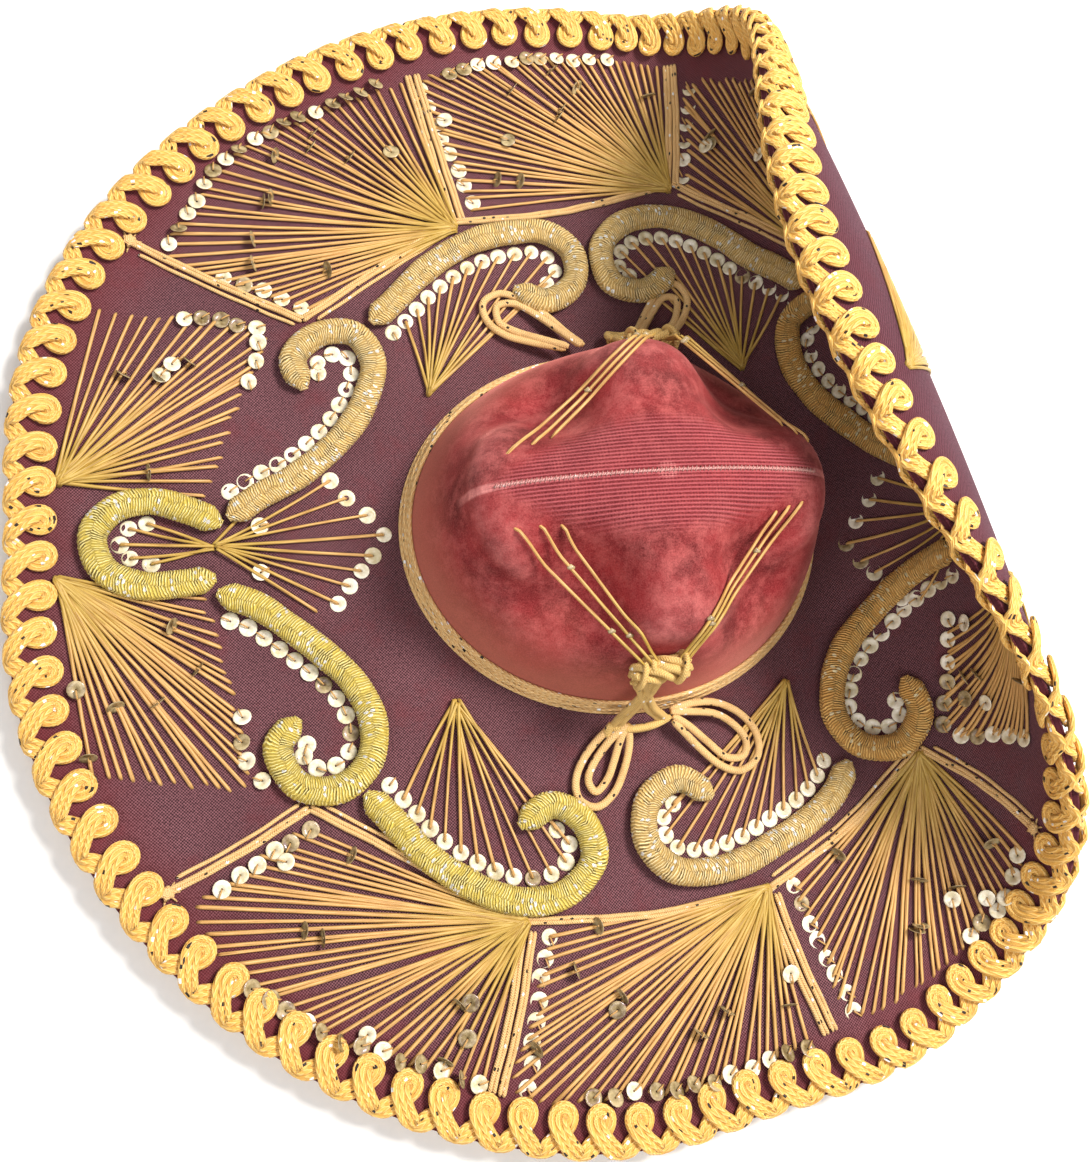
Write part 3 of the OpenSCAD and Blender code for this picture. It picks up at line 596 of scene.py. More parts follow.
SCROLLS = {
    "scroll_front": [(-186, 12), (-200, 19), (-216, 24), (-232, 21), (-242, 9), (-238, -7),
        (-223, -15), (-206, -15), (-190, -13)],
    "scroll_back": [(199, -7), (210, 2), (226, 7), (242, 4), (252, -8), (248, -24), (233, -32),
        (216, -33), (200, -31)],
    "scroll_front_left": [(-190, -20), (-173, -27), (-158, -39), (-144, -52), (-132, -66),
        (-125, -84), (-128, -102), (-142, -113), (-160, -110), (-168, -93), (-158, -80)],
    "scroll_front_right": [(-183, 15), (-168, 25), (-152, 33), (-137, 44), (-124, 57), (-115, 72),
        (-110, 90), (-118, 105), (-135, 105), (-148, 93), (-144, 77)],
    "scroll_back_left": [(187, -34), (167, -36), (148, -42), (130, -53), (114, -66), (103, -83),
        (100, -102), (112, -117), (133, -119), (146, -105), (141, -87)],
    "scroll_back_right": [(190, 5), (167, 16), (149, 28), (133, 43), (119, 59), (110, 79),
        (113, 99), (132, 104), (150, 93), (148, 74)],
    "side_scroll_front_left": [(-131, -116), (-119, -131), (-108, -145), (-94, -157), (-78, -167),
        (-60, -172), (-43, -169), (-30, -156), (-33, -139), (-47, -130), (-63, -138)],
    "side_scroll_back_left": [(103, -124), (92, -139), (77, -150), (60, -158), (43, -165),
        (25, -168), (7, -165), (-4, -151), (-1, -133), (15, -124), (31, -134)],
    "side_scroll_front_right": [(-109, 111), (-96, 123), (-83, 136), (-68, 147), (-52, 155),
        (-34, 159), (-16, 159), (-3, 148), (-4, 131), (-19, 121), (-36, 128)],
    "side_scroll_back_right": [(127, 114), (112, 127), (96, 139), (82, 152), (65, 163), (46, 168),
        (26, 164), (13, 150), (16, 131), (33, 126), (50, 137)],
}
FRAME = {
    "left": [[(-218, -150), (-186, -136), (-156, -120)], [(-156, -120), (-110, -150), (-66, -180)],
        [(-66, -180), (-6, -184), (52, -180)], [(52, -180), (100, -154), (142, -122)], [(142, -122),
        (170, -142), (198, -166)]],
    "right": [[(-220, 152), (-184, 134), (-142, 114)], [(-142, 114), (-104, 140), (-64, 166)],
        [(-64, 166), (-6, 172), (58, 188)], [(58, 188), (98, 160), (138, 126)], [(138, 126),
        (166, 150), (192, 172)]],
}
DIVIDERS = {
    "front_left": [(-64, -184), (-74, -218), (-87, -250)],
    "back_left": [(54, -182), (61, -214), (70, -246)],
    "front_right": [(-60, 167), (-68, 204), (-77, 246)],
    "back_right": [(58, 186), (64, 218), (69, 250)],
}

# ---- Crown ----


def crown_sheet(name, start, sweep, outer, inner, material, slot, resolution, reach=1.0, surface=on_crown):
    """One layer of the crown between two depths, smooth, over all or half of the way round."""
    across, along = resolution
    middle, thick = (outer + inner) / 2, inner - outer

    def place(u, v):
        return surface(start + sweep * u, np.maximum(v, 0.0) * reach, middle)

    def flat(u, v):
        a = start + sweep * u
        return np.stack([v * 150 * np.cos(a), v * 140 * np.sin(a)], -1)
    piece = cloth_sheet(name, across, along, place, flat, thick)
    return settle(piece, material, slot, name)


def crown(stuff):
    full, half = TURN, math.pi
    left = crown_sheet("crown_velvet_left", half, half, 0, VELVET, stuff["velvet"], "pink_red_velvet",
                       (180, 150), surface=above_brim)
    right = crown_sheet("crown_velvet_right", 0, half, 0, VELVET, stuff["velvet"], "pink_red_velvet",
                        (180, 150), surface=above_brim)
    crown_sheet("crown_felt", 0, full, VELVET + 0.1, VELVET + CROWN_FELT - 0.1, stuff["felt"],
                "wool_felt", (120, 60))
    lining = crown_sheet("crown_lining", 0, full, VELVET + CROWN_FELT, VELVET + CROWN_FELT + LINING,
                         stuff["lining"], "lining_cotton", (120, 60), reach=0.97)
    # The seam is a row of close stitches over the top, end to end
    x = np.linspace(-74, 74, 149)
    u = np.arcsin(np.clip(np.abs(x) / (CROWN_HALF_LENGTH * TOP_RATIO), 0, 0.999) ** (1 / 0.85)) / math.pi
    ridge = on_crown(np.where(x < 0, math.pi, 0.0), u, -0.1)
    up = upright(len(x))
    ladder = []
    for i in range(1, len(x) - 1):
        if i % 2:
            tilt = np.array([[-0.5, -1.3, 0.0], [0, 0, 0.5], [0.5, 1.3, 0.0]])
            ladder.append(strand(ridge[i] + tilt, up[:3], width=0.55, height=0.5, sides=5))
    seam = gathered("crown_seam", [strand(ridge, up, lift=-0.1, width=1.2, height=0.9, sides=8)] + ladder)
    settle(seam, stuff["seam"], "seam_thread", "crown_seam")


def sweatband(stuff):
    # A leather band round the inside of the crown, bowed out a little between its edges; its fold and
    # stitches are not drawn
    outer = VELVET + CROWN_FELT + LINING

    def place(u, v):
        a = TURN * u
        belly = 0.25 * np.sin(math.pi * v)
        return plain_crown(a, 1 - 0.5 * (0.2 + (SWEATBAND_HEIGHT - 1.0) * v) / SHOULDER_HEIGHT,
                           outer + SWEATBAND / 2 + 0.15 + belly)
    piece = cloth_sheet("sweatband", 180, 24, place,
                        lambda u, v: np.stack([u * 560, v * SWEATBAND_HEIGHT], -1), SWEATBAND - 0.3)
    apply_modifier(piece, "BEVEL", width=0.0004, segments=2)
    settle(piece, stuff["leather"], "sweatband_leather", "sweatband")


# ---- Brim ----


def brim_sheets(stuff):
    hole = np.array([CROWN_HALF_LENGTH - VELVET, CROWN_HALF_WIDTH - VELVET])

    def spot(u, v):
        a, rim = TURN * u, rim_radius(TURN * u)
        return (hole[0] + (rim - hole[0]) * v) * np.cos(a), (hole[1] + (rim - hole[1]) * v) * np.sin(a)

    def flat(u, v):
        return np.stack(spot(u, v), -1)

    def layer(name, low, high, material, slot, resolution, swell):
        def place(u, v):
            x, y = spot(u, v)
            return on_brim(x, y, (low + high) / 2 + swell(x, y, v))
        piece = cloth_sheet(name, *resolution, place, flat, high - low)
        return settle(piece, material, slot, name)

    def slack(x, y, v):
        soft = (np.sin(x / 31 + 0.7) * np.sin(y / 27)
                + 0.6 * np.sin(x / 13 + y / 17) * np.sin(y / 19 - x / 29))
        return 0.12 * soft * np.sin(math.pi * np.clip(v, 0, 1)) ** 0.5

    def even(x, y, v):
        return 0 * v
    top = layer("brim_top_cloth", FACE - CLOTH, FACE, stuff["canvas"], "maroon_cloth", (360, 70), slack)
    under = layer("brim_under_cloth", 0.05, CLOTH, stuff["under canvas"], "maroon_cloth", (300, 50),
                  even)
    layer("brim_felt", CLOTH + 0.15, FACE - CLOTH - 0.25, stuff["felt"], "wool_felt", (240, 40), even)


# ---- Braid round the rim ----

BRAID_LOOPS, BRAID_RIB = 98, 2.6


def rim_braid(stuff):
    """A flat three-rib cord laid in loops that cross themselves, on the top face and again underneath."""
    around = TURN * BRIM_RADIUS
    pitch = around / BRAID_LOOPS
    # One loop: distance along the rim, distance inwards, and how high it rides (0 under, 1 over)
    loop = [(-8.3, 1.3, 0.25), (-4.9, 3.9, 0.0), (-1.3, 7.6, 0.0), (1.4, 11.2, 0.1),
            (3.0, 14.7, 0.4), (2.6, 17.4, 0.7), (0.2, 18.7, 0.9), (-2.3, 17.5, 1.0),
            (-2.8, 14.7, 1.15), (-1.2, 11.2, 1.35), (1.6, 7.6, 1.3), (5.2, 3.9, 0.7)]
    for face, name in ((1, "rim_braid"), (-1, "rim_braid_under")):
        chance = random.Random(5 + face)
        knots = []
        for n in range(BRAID_LOOPS):
            grow, lean = chance.uniform(0.94, 1.04), chance.uniform(-0.6, 0.6)
            for s, d, over in loop:
                knots.append((n * pitch + s * pitch / 18.2 + lean * d / 15, d * grow, over))
        knots = np.array(knots)
        lap = np.array([around, 0, 0])
        p = np.vstack([knots[-1] - lap, knots, knots[0] + lap, knots[1] + lap])
        fine = np.array(curve(p, (0, 1 / 3, 2 / 3)))
        turn = face * fine[:, 0] / BRIM_RADIUS
        r = rim_radius(turn) + 1.6 - fine[:, 1]
        # the cord rolls over the edge where it comes out to it
        edge = np.clip(1 - fine[:, 1] / 4.0, 0, 1)
        rise = 1.25 + 2.1 * fine[:, 2]
        h = np.where(edge > 0, (rise + FACE / 2) * (1 - edge ** 2) + 0.3 * edge ** 2 - FACE / 2, rise)
        h = FACE / 2 + face * (h + FACE / 2)
        centre = on_brim(r * np.cos(turn), r * np.sin(turn), h)
        tip = np.sin(edge * math.pi / 2)
        r2, h2 = r + 0.8 * tip, h + 0.8 * face * np.cos(edge * math.pi / 2)
        up = on_brim(r2 * np.cos(turn), r2 * np.sin(turn), h2) - centre
        ribs = [strand(centre, up, side=s, width=3.2, height=2.5, sides=7, closed=True)
                for s in (-BRAID_RIB, 0, BRAID_RIB)]
        piece = gathered(name, ribs)
        settle(piece, stuff["braid"], "gold_braid", "rim_braid")


# ---- Cords on the brim ----


def scroll(name, points, material, seed):
    """A cotton core wound crosswise with thread: close rings of slightly uneven thickness."""
    path = route(points, 0.42)
    centre, up = laid(path, SCROLL_HEIGHT / 2 - 0.2)
    phase = random.Random(seed).uniform(0, 6)

    def ripple(run, a):
        wound = run + 1.4 * np.abs(np.sin(1.5 * a + phase))
        rings = 0.026 * np.sin(TURN * wound / 2.1 + phase + 1.5 * np.sin(run / 4.1))
        return rings + 0.02 * np.sin(run / 6.3 + phase) + 0.016 * np.sin(run / 2.9 + 2 * a)
    piece = gathered(name, [strand(centre, up, width=SCROLL_WIDTH, height=SCROLL_HEIGHT, sides=18,
                                   ripple=ripple, blunt=0.35)])
    settle(piece, material, "gold_wrapped_cord", name)


def flat_cord(path, width=4.6, ribs=2, lift=0.0, high=2.4):
    """Strands side by side, wavering a little sideways and in height, standing for a braided cord."""
    centre, up = laid(path, high / 2 + lift)
    run = np.arange(len(path))
    each = width / ribs
    made = []
    for n in range(ribs):
        side = (n - (ribs - 1) / 2) * each * 0.92 + 0.12 * np.sin(run / 3.1 + n)
        made.append(strand(centre, up, side=side, lift=0.12 * np.sin(run / 2.3 + 2 * n),
                           width=each * 1.08, height=high, sides=8))
    return made


def tied_end(x, y):
    """The frayed knot that ends a frame cord."""
    made = []
    for turn in (0.3, 1.4, 2.5):
        step = 3.2 * np.array([math.cos(turn), math.sin(turn)])
        path = route([(x, y) - step, (x + 0.5, y + 0.4), (x, y) + step], 0.8)
        made += flat_cord(path, 3.0, 1, lift=0.7, high=2.6)
    for turn in (0.0, 0.9, 2.0, 3.3, 4.4, 5.5):
        far = (x + 5.5 * math.cos(turn), y + 5.5 * math.sin(turn))
        made += flat_cord(route([(x, y), far], 1.2), 0.8, 1, lift=0.1, high=0.8)
    return made


def frame_cords(stuff):
    for side in ("left", "right"):
        strands = []
        for n, corner in enumerate(FRAME[side]):
            path = route(corner, 1.2)
            strands += flat_cord(path, 3.8, 2)
            if n != 2:
                strands += flat_cord(beside(path, 3.9 if side == "left" else -3.9)[5:-2], 1.7, 1, high=1.6)
        for x, y in (FRAME[side][0][0], FRAME[side][-1][-1]):
            strands += tied_end(x, y)
        settle(gathered("frame_cord_" + side, strands), stuff["cord"], "gold_cord", "frame_cord_" + side)
    for place, points in DIVIDERS.items():
        path = route(points, 1.2)
        name = "divider_cords_" + place
        piece = gathered(name, flat_cord(beside(path, 2.3), 3.8, 2) + flat_cord(beside(path, -2.3), 3.8, 2))
        settle(piece, stuff["cord"], "gold_cord", name)


# ---- Laid threads ----


def thread(start, end, chance, width):
    """One taut thread from the gathering hole to the hole at its far end."""
    start, end = np.array(start, float), np.array(end, float)
    length = np.linalg.norm(end - start)
    n = max(int(length / 7), 6)
    s = np.concatenate([[0, 0.012], np.linspace(0.03, 0.985, n), [1.0]])
    across = np.array([-(end - start)[1], (end - start)[0]]) / length
    bend = chance.uniform(-0.9, 0.9)
    flat = start + (end - start) * s[:, None] + across * (bend * np.sin(math.pi * s))[:, None]
    high = chance.uniform(0.5, 3.0)
    h = 0.95 + high * np.exp(-s * length / 26) + 0.25 * np.sin(math.pi * s)
    h[0], h[-1] = 0.2, -0.2
    centre, up = laid(flat, h)
    return strand(centre, up, width=width * chance.uniform(0.85, 1.1), height=width * 0.85, sides=6,
                  blunt=0.8)


def back_thread(start, end, width):
    """The same thread where it comes back along the underside of the brim."""
    s = np.concatenate([[0, 0.02], np.linspace(0.1, 0.9, 8), [0.98, 1.0]])[:, None]
    flat = np.array(start, float) + (np.array(end, float) - start) * s
    h = np.where((s[:, 0] > 0) & (s[:, 0] < 1), -0.65, 0.3)
    centre, up = on_brim(flat[:, 0], flat[:, 1], h), -brim_up(flat[:, 0], flat[:, 1], h)
    centre[:, 2] = np.maximum(centre[:, 2], width / 2)
    return strand(centre, up, width=width, height=width * 0.8, sides=5, blunt=0.8)


def spread(points, count, chance, loose):
    line = route(points, 2.0)
    at = np.linspace(0, len(line) - 1, count)
    spots = np.stack([np.interp(at, np.arange(len(line)), line[:, k]) for k in (0, 1)], 1)
    return [(x + chance.uniform(-loose, loose), y + chance.uniform(-loose, loose)) for x, y in spots]


def fan(name, groups, material, seed, width=1.75, through=False):
    chance = random.Random(seed)
    strands = []
    for apex, ends in groups:
        for end in ends:
            start = (apex[0] + chance.uniform(-1.1, 1.1), apex[1] + chance.uniform(-1.1, 1.1))
            strands.append(thread(start, end, chance, width))
            if through:
                strands.append(back_thread(start, end, width))
    settle(gathered(name, strands), material, "gold_thread", name)


# ---- Sequins ----


def sequin_shape():
    """A cupped disc with a centre hole, modelled once: 8 mm across, 14 sided."""
    deselect()
    bpy.ops.mesh.primitive_circle_add(vertices=14, radius=4.0, fill_type="NGON", location=(0, 0, 0.55))
    disc = bpy.context.object
    bpy.ops.object.mode_set(mode="EDIT")
    bpy.ops.mesh.select_mode(type="FACE")
    bpy.ops.mesh.select_all(action="SELECT")
    bpy.ops.mesh.inset(thickness=1.0, depth=-0.28)
    bpy.ops.mesh.inset(thickness=2.42, depth=-0.12)
    bpy.ops.mesh.delete(type="FACE")
    bpy.ops.object.mode_set(mode="OBJECT")
    apply_modifier(disc, "SOLIDIFY", thickness=0.22, offset=-1)
    points = np.array([v.co[:] for v in disc.data.vertices])
    faces = [list(f.vertices) for f in disc.data.polygons]
    bpy.data.objects.remove(disc, do_unlink=True)
    return points, faces


def local_frame(x, y, h):
    base = on_brim(x, y, h)
    east = on_brim(x + 1, y, h) - base
    up = brim_up(x, y, h)
    east = east - up * np.dot(east, up)
    east /= np.linalg.norm(east)
    return base, east, np.cross(up, east), up


def sequins(name, spots, stuff, seed):
    """spots are (x, y, height, direction of the stitch, lean)."""
    shape, shape_faces = SEQUIN
    chance = random.Random(seed)
    points, faces, marks, base = [], [], [], 0
    for x, y, h, heading, lean in spots:
        roll = chance.uniform(-0.1, 0.1)
        stand = 3.9 * (math.sin(min(abs(lean), 1.2)) + abs(math.sin(roll))) if h < 2.5 else 1.0
        spot, east, north, up = local_frame(x, y, FACE + h + stand)
        basis = np.array([east, north, up]).T @ np.array(turned(heading, lean, roll))
        size = chance.uniform(0.94, 1.05)
        points.append(spot + (shape * size) @ basis.T)
        faces += [[i + base for i in f] for f in shape_faces]
        # kind 2 is the darker pearl, painted shade: sequins standing on edge, some raised ones and a few at
        # random
        kind = 2 if abs(lean) > 0.5 or (h > 0.5 and chance.random() < 0.3) or chance.random() < 0.04 else 0
        marks += [kind] * len(shape_faces)
        base += len(shape)
        stitch = np.array([(0, 0, -0.1), (0.5, 0, 0.75), (2.4, 0, 1.05), (4.0, 0, 0.95),
                           (4.5, 0, -0.2 - stand)])
        line = spot + stitch @ basis.T
        p, f, _, caps = strand(line, np.tile(up, (5, 1)), width=0.8, height=0.7, sides=5)
        points.append(p)
        faces += (f + base).tolist() + [[c + base for c in cap] for cap in caps]
        marks += [1] * (len(f) + len(caps))
        base += len(p)
    mesh = bpy.data.meshes.new(name)
    mesh.from_pydata((np.vstack(points) * MM).tolist(), [], faces)
    mesh.uv_layers.new(name="along")
    mesh.polygons.foreach_set("material_index", marks)
    mesh.polygons.foreach_set("use_smooth", [True] * len(faces))
    piece = bpy.data.objects.new(name, mesh)
    bpy.context.collection.objects.link(piece)
    for material in (stuff["pearl"], stuff["thread"], stuff["pearl in painted shade"]):
        mesh.materials.append(material)
    settle(piece, None, "cream_sequin", name)


def row_of(points, offset, start, end, pitch, h, flip=1):
    """Sequins in a row beside a line."""
    path = beside(route(points, 1.0), offset)
    path = path[int(len(path) * start):int(len(path) * end)]
    run = distance(path)
    n = max(int(run[-1] / pitch), 1)
    at = np.linspace(0, run[-1], n + 1)
    spots = np.stack([np.interp(at, run, path[:, k]) for k in (0, 1)], 1)
    ahead = np.gradient(spots, axis=0)
    back = 0 if flip > 0 else math.pi
    return [(x, y, h, math.atan2(dy, dx) + back, 0.0) for (x, y), (dx, dy) in zip(spots, ahead)]


# ---- The whole embroidery ----

# Fans of laid thread: where they gather, the line of their far holes, and how many threads
FANS = {
    "fan_front_left": [(-258, -10), [(-246, -98), (-214, -104), (-182, -106), (-186, -70),
        (-190, -46), (-196, -22)], 27],
    "fan_front_right": [(-256, 34), [(-234, 118), (-196, 114), (-160, 108), (-172, 80), (-182, 54),
        (-192, 28)], 26],
    "fan_back_left": [(243, -58), [(206, -126), (180, -122), (158, -116), (162, -92), (168, -70)],
        24],
    "fan_back_right": [(248, 34), [(204, 108), (184, 104), (164, 98), (174, 72), (180, 46)], 24],
    "fan_corner_front_left": [(-64, -180), [(-160, -128), (-190, -146), (-206, -158), (-192, -188),
        (-154, -217), (-114, -239), (-92, -246)], 38],
    "fan_side_left": [(52, -178), [(-54, -188), (-66, -220), (-76, -252), (-20, -260), (30, -257),
        (58, -248)], 38],
    "fan_corner_back_left": [(142, -124), [(64, -176), (74, -210), (84, -240), (130, -226),
        (172, -198), (188, -176)], 34],
    "fan_corner_front_right": [(-62, 162), [(-140, 119), (-176, 134), (-204, 148), (-168, 200),
        (-128, 224), (-84, 241)], 40],
    "fan_side_right": [(56, 184), [(-52, 174), (-62, 206), (-74, 242), (-20, 257), (28, 258),
        (60, 252)], 40],
    "fan_corner_back_right": [(138, 126), [(66, 186), (72, 214), (78, 238), (124, 220), (168, 196),
        (186, 174)], 32],
}
# Fans inside the side scrolls: gathering hole, the scroll, side of its sequins
INNER_FANS = {
    "fan_inner_front_left": [(-86, -78), "side_scroll_front_left", 1],
    "fan_inner_back_left": [(78, -82), "side_scroll_back_left", -1],
    "fan_inner_front_right": [(-84, 74), "side_scroll_front_right", -1],
    "fan_inner_back_right": [(82, 82), "side_scroll_back_right", 1],
}
# Sequins beside the long scrolls
SCROLL_ROWS = {"scroll_front_left": -1, "scroll_front_right": 1, "scroll_back_left": 1,
               "scroll_back_right": -1}
# Loose rows of sequins along the fans: points and height above the threads
FAN_ROWS = {
    "left": [([(-157, -130), (-178, -140), (-196, -151)], 2.2, 0.0), ([(-192, -187), (-154, -216),
        (-94, -244)], 1.6, 0.5), ([(-54, -188), (-64, -218), (-72, -250)], 0.3, 0.0), ([(-44, -257),
        (10, -258), (56, -250)], 1.4, 0.3), ([(65, -180), (75, -210), (84, -238)], 0.3, 0.0),
        ([(150, -212), (172, -198), (186, -178)], 1.4, 0.2), ([(-176, -106), (-184, -92),
        (-182, -78)], 1.4, 0.2)],
    "right": [([(-142, 121), (-160, 128), (-178, 136)], 1.2, 0.0), ([(-202, 152), (-168, 200),
        (-96, 238)], 1.2, 0.3), ([(-51, 178), (-62, 208), (-72, 238)], 0.3, 0.0), ([(-58, 248),
        (-20, 256), (28, 257)], 1.2, 0.1), ([(65, 190), (71, 212), (78, 236)], 0.3, 0.0),
        ([(-198, 114), (-180, 113), (-164, 109)], 1.4, 0.1), ([(-163, 102), (-166, 92), (-170, 82)],
        1.4, 0.2)],
    "back": [([(170, -64), (163, -92), (157, -113)], 1.2, 0.1), ([(164, -118), (184, -122),
        (204, -125)], 1.2, 0.1)],
}


def scroll_row(name, side, start, end):
    return row_of(SCROLLS[name], 10.3 * side, start, end, pitch=8.3, h=0.4, flip=side)


def butterfly(apex, way, shift):
    """Threads in a fan towards the crown and a smaller one into the end scroll; sequins at the ends."""
    wide = [(37, 36), (55, 30), (62, 21), (71, 12), (78, 2), (72, -8), (66, -15), (60, -22),
            (54, -30), (44, -33)]
    small = [(-37, 10.5), (-29, 12.5), (-41, 3), (-37, -3.5), (-28, -6.5)]
    return ([(apex[0] - way * x, apex[1] + y) for x, y in wide],
            [(apex[0] - way * x, apex[1] + y + shift) for x, y in small])


def embroidery(stuff):
    lemon = ("scroll_front", "scroll_front_left", "side_scroll_front_left")
    # the back scrolls, under the rolled brim, take a darker, browner copy of the old gold wrap: painted
    # shade
    brown = ("scroll_back", "scroll_back_left", "scroll_back_right")
    for seed, (name, points) in enumerate(SCROLLS.items()):
        wrap = "lemon wrap" if name in lemon else "old wrap in painted shade" if name in brown else "old wrap"
        scroll(name, points, stuff[wrap], seed)
    frame_cords(stuff)
    chance = random.Random(11)
    loose = {"left": [], "right": [], "front": [], "back": []}
    for seed, (name, (apex, ends, count)) in enumerate(FANS.items()):
        holes = spread(ends, count, chance, 1.2)
        fan(name, [(apex, holes)], stuff["thread"], seed, through=True)
        side = name.split("_")[-1]
        # Sequins threaded on the way, standing on their edges, most in the darker pearl: painted shade
        for n in range(count // 4):
            x, y = holes[chance.randrange(len(holes))]
            s = chance.uniform(0.55, 0.93)
            lean = chance.choice((1.2, 1.35, -1.25, 0.25))
            loose[side].append((apex[0] + (x - apex[0]) * s, apex[1] + (y - apex[1]) * s, 2.6,
                                math.atan2(y - apex[1], x - apex[0]), lean))
    for seed, (name, (apex, along, side)) in enumerate(INNER_FANS.items()):
        row = scroll_row(along, side, 0.03, 0.86)
        holes = [(x, y) for x, y, *rest in row[1:]]
        fan(name, [(apex, holes)], stuff["thread"], 40 + seed, 1.55)
        loose[name.split("_")[-1]] += [(x, y, h, math.atan2(y - apex[1], x - apex[0]) + math.pi, lean)
                                       for x, y, h, heading, lean in row]
    for name, side in SCROLL_ROWS.items():
        loose["front" if "front" in name else "back"] += scroll_row(name, side, 0.05, 0.97)
    for name, apex, way, shift in (("front", (-190, 2), -1, 0), ("back", (200, -19), 1, 5)):
        wide, small = butterfly(apex, way, shift)
        fan("fan_butterfly_" + name, [(apex, wide), (apex, small)], stuff["thread"], 60 + way, 1.5)
        for x, y in wide[1:9] + small:
            loose[name].append((x, y, 0.4, math.atan2(apex[1] - y, apex[0] - x), 0.0))
        loose[name] += [(apex[0] - way * 21, apex[1] + 9, 1.4, 0.2, 0.2),
                        (apex[0] - way * 20, apex[1] - 13, 1.2, 0.4, 0.1)]
    for side, rows in FAN_ROWS.items():
        for points, h, lean in rows:
            for x, y, _, heading, _ in row_of(points, 0.0, 0, 1, pitch=8.6, h=h):
                loose[side].append((x + chance.uniform(-1, 1), y + chance.uniform(-1, 1), h, heading + 0.6,
                                    lean * chance.uniform(0, 2.4)))
    for seed, (name, spots) in enumerate(loose.items()):
        sequins("sequins_" + name, spots, stuff, seed)


# ---- Cords and threads on the crown ----


def hatband(stuff):
    a = np.linspace(0, TURN, 361)[:-1]

    def ring(out, high, swap=0.0, phase=0.0):
        base = above_brim(a, 1 - high / 2 / SHOULDER_HEIGHT, -out)
        base[:, 2] = foot_height(a) + high + swap * np.sin(22 * a + phase)
        out_way = np.stack([np.cos(a) / CROWN_HALF_LENGTH, np.sin(a) / CROWN_HALF_WIDTH, 0 * a], 1)
        out_way /= np.linalg.norm(out_way, axis=1)[:, None]
        return base + out_way * (swap * 0.6 * np.cos(22 * a + phase))[:, None]
    up = upright(len(a))
    for name, ribs in (("hatband_lower_cord", [ring(1.1, 1.2), ring(3.2, 1.1)]),
                       ("hatband_plait", [ring(2.2, 3.2, 0.5, 0), ring(2.0, 4.9, 0.5, math.pi)]),
                       ("hatband_upper_cord", [ring(1.2, 6.8), ring(1.0, 8.8)])):
        piece = gathered(name, [strand(rib, up, width=2.2, height=2.2, closed=True) for rib in ribs])
        settle(piece, stuff["cord"], "gold_cord", name)


BOW_CORD = 3.7
BOWS = {
    "bow_left_front_outer": [(-9, -95, 13.5), (-19, -100, 10.5), (-29, -110, 8), (-34, -120, 6.8),
        (-33, -129, 6.4), (-25, -133, 6.4), (-16, -127, 6.6), (-10, -116, 8), (-7, -106, 9.8),
        (-7, -97, 13)],
    "bow_left_front_inner": [(-8, -97, 14.5), (-16, -103, 11), (-24, -112, 8), (-28, -120, 6.8),
        (-25, -126, 6.4), (-19, -121, 6.8), (-15, -113, 8), (-12, -105, 10.5), (-9, -98, 14)],
    "bow_left_back_outer": [(14, -92, 13.5), (26, -89.5, 12), (39, -90, 9), (51, -96, 7),
        (58, -106, 6.4), (57, -117, 6.4), (48, -123, 6.4), (38, -120, 6.8), (28, -111, 8.4),
        (15, -97, 12.5)],
    "bow_left_back_inner": [(14, -93, 14.5), (25, -93.5, 12), (37, -95, 9), (46, -100, 7),
        (52, -108, 6.4), (50, -116, 6.4), (41, -116, 6.8), (32, -108, 8.4), (23, -100, 11),
        (15, -95, 13.5)],
    "bow_right_front_outer": [(-5, 94, 13.5), (-12, 102, 10.5), (-21, 113, 8), (-32, 122, 6.8),
        (-43, 126, 6.4), (-52, 121, 6.4), (-51, 111, 6.6), (-43, 103, 7.6), (-31, 98, 9.4),
        (-14, 92.5, 13)],
    "bow_right_front_inner": [(-7, 93, 15.5), (-16, 103, 11.5), (-26, 113, 8.6), (-36, 120, 7),
        (-45, 119, 6.6), (-45, 110, 7), (-37, 104, 8.6), (-26, 99, 11), (-13, 93, 14.5)],
    "bow_right_back_outer": [(20, 95, 13.5), (26, 104, 10.5), (33, 115, 8), (41, 126, 6.8),
        (51, 130, 6.4), (56, 122, 6.6), (53, 112, 7.6), (46, 103, 9.4), (35, 94, 12.5)],
    "bow_right_back_inner": [(22, 94, 15.5), (29, 104, 11.5), (36, 114, 8.6), (43, 122, 7),
        (50, 121, 6.8), (48, 111, 7.6), (42, 103, 9.4), (32, 95, 13.5)],
}


def round_cord(points, diameter, step=0.8, sides=10):
    """Two plies side by side in one cord, drawn as a tube with a shallow waist."""
    line = route(points, step)

    def waist(run, a):
        return -0.10 * np.abs(np.sin(a)) ** 6 + 0.02 * np.sin(run * 1.9 + 2 * a)
    return line, strand(line, upright(len(line)), width=diameter, height=diameter * 0.92, sides=sides,
                        blunt=0.7, ripple=waist)


def bows(stuff):
    for name, points in BOWS.items():
        line, tube = round_cord(points, BOW_CORD)
        piece = gathered(name, [tube])
        settle(piece, stuff["cord"], "gold_cord", "bow_left" if "left" in name else "bow_right")
        (line[0] * MM).tolist()
        (line * MM).tolist()


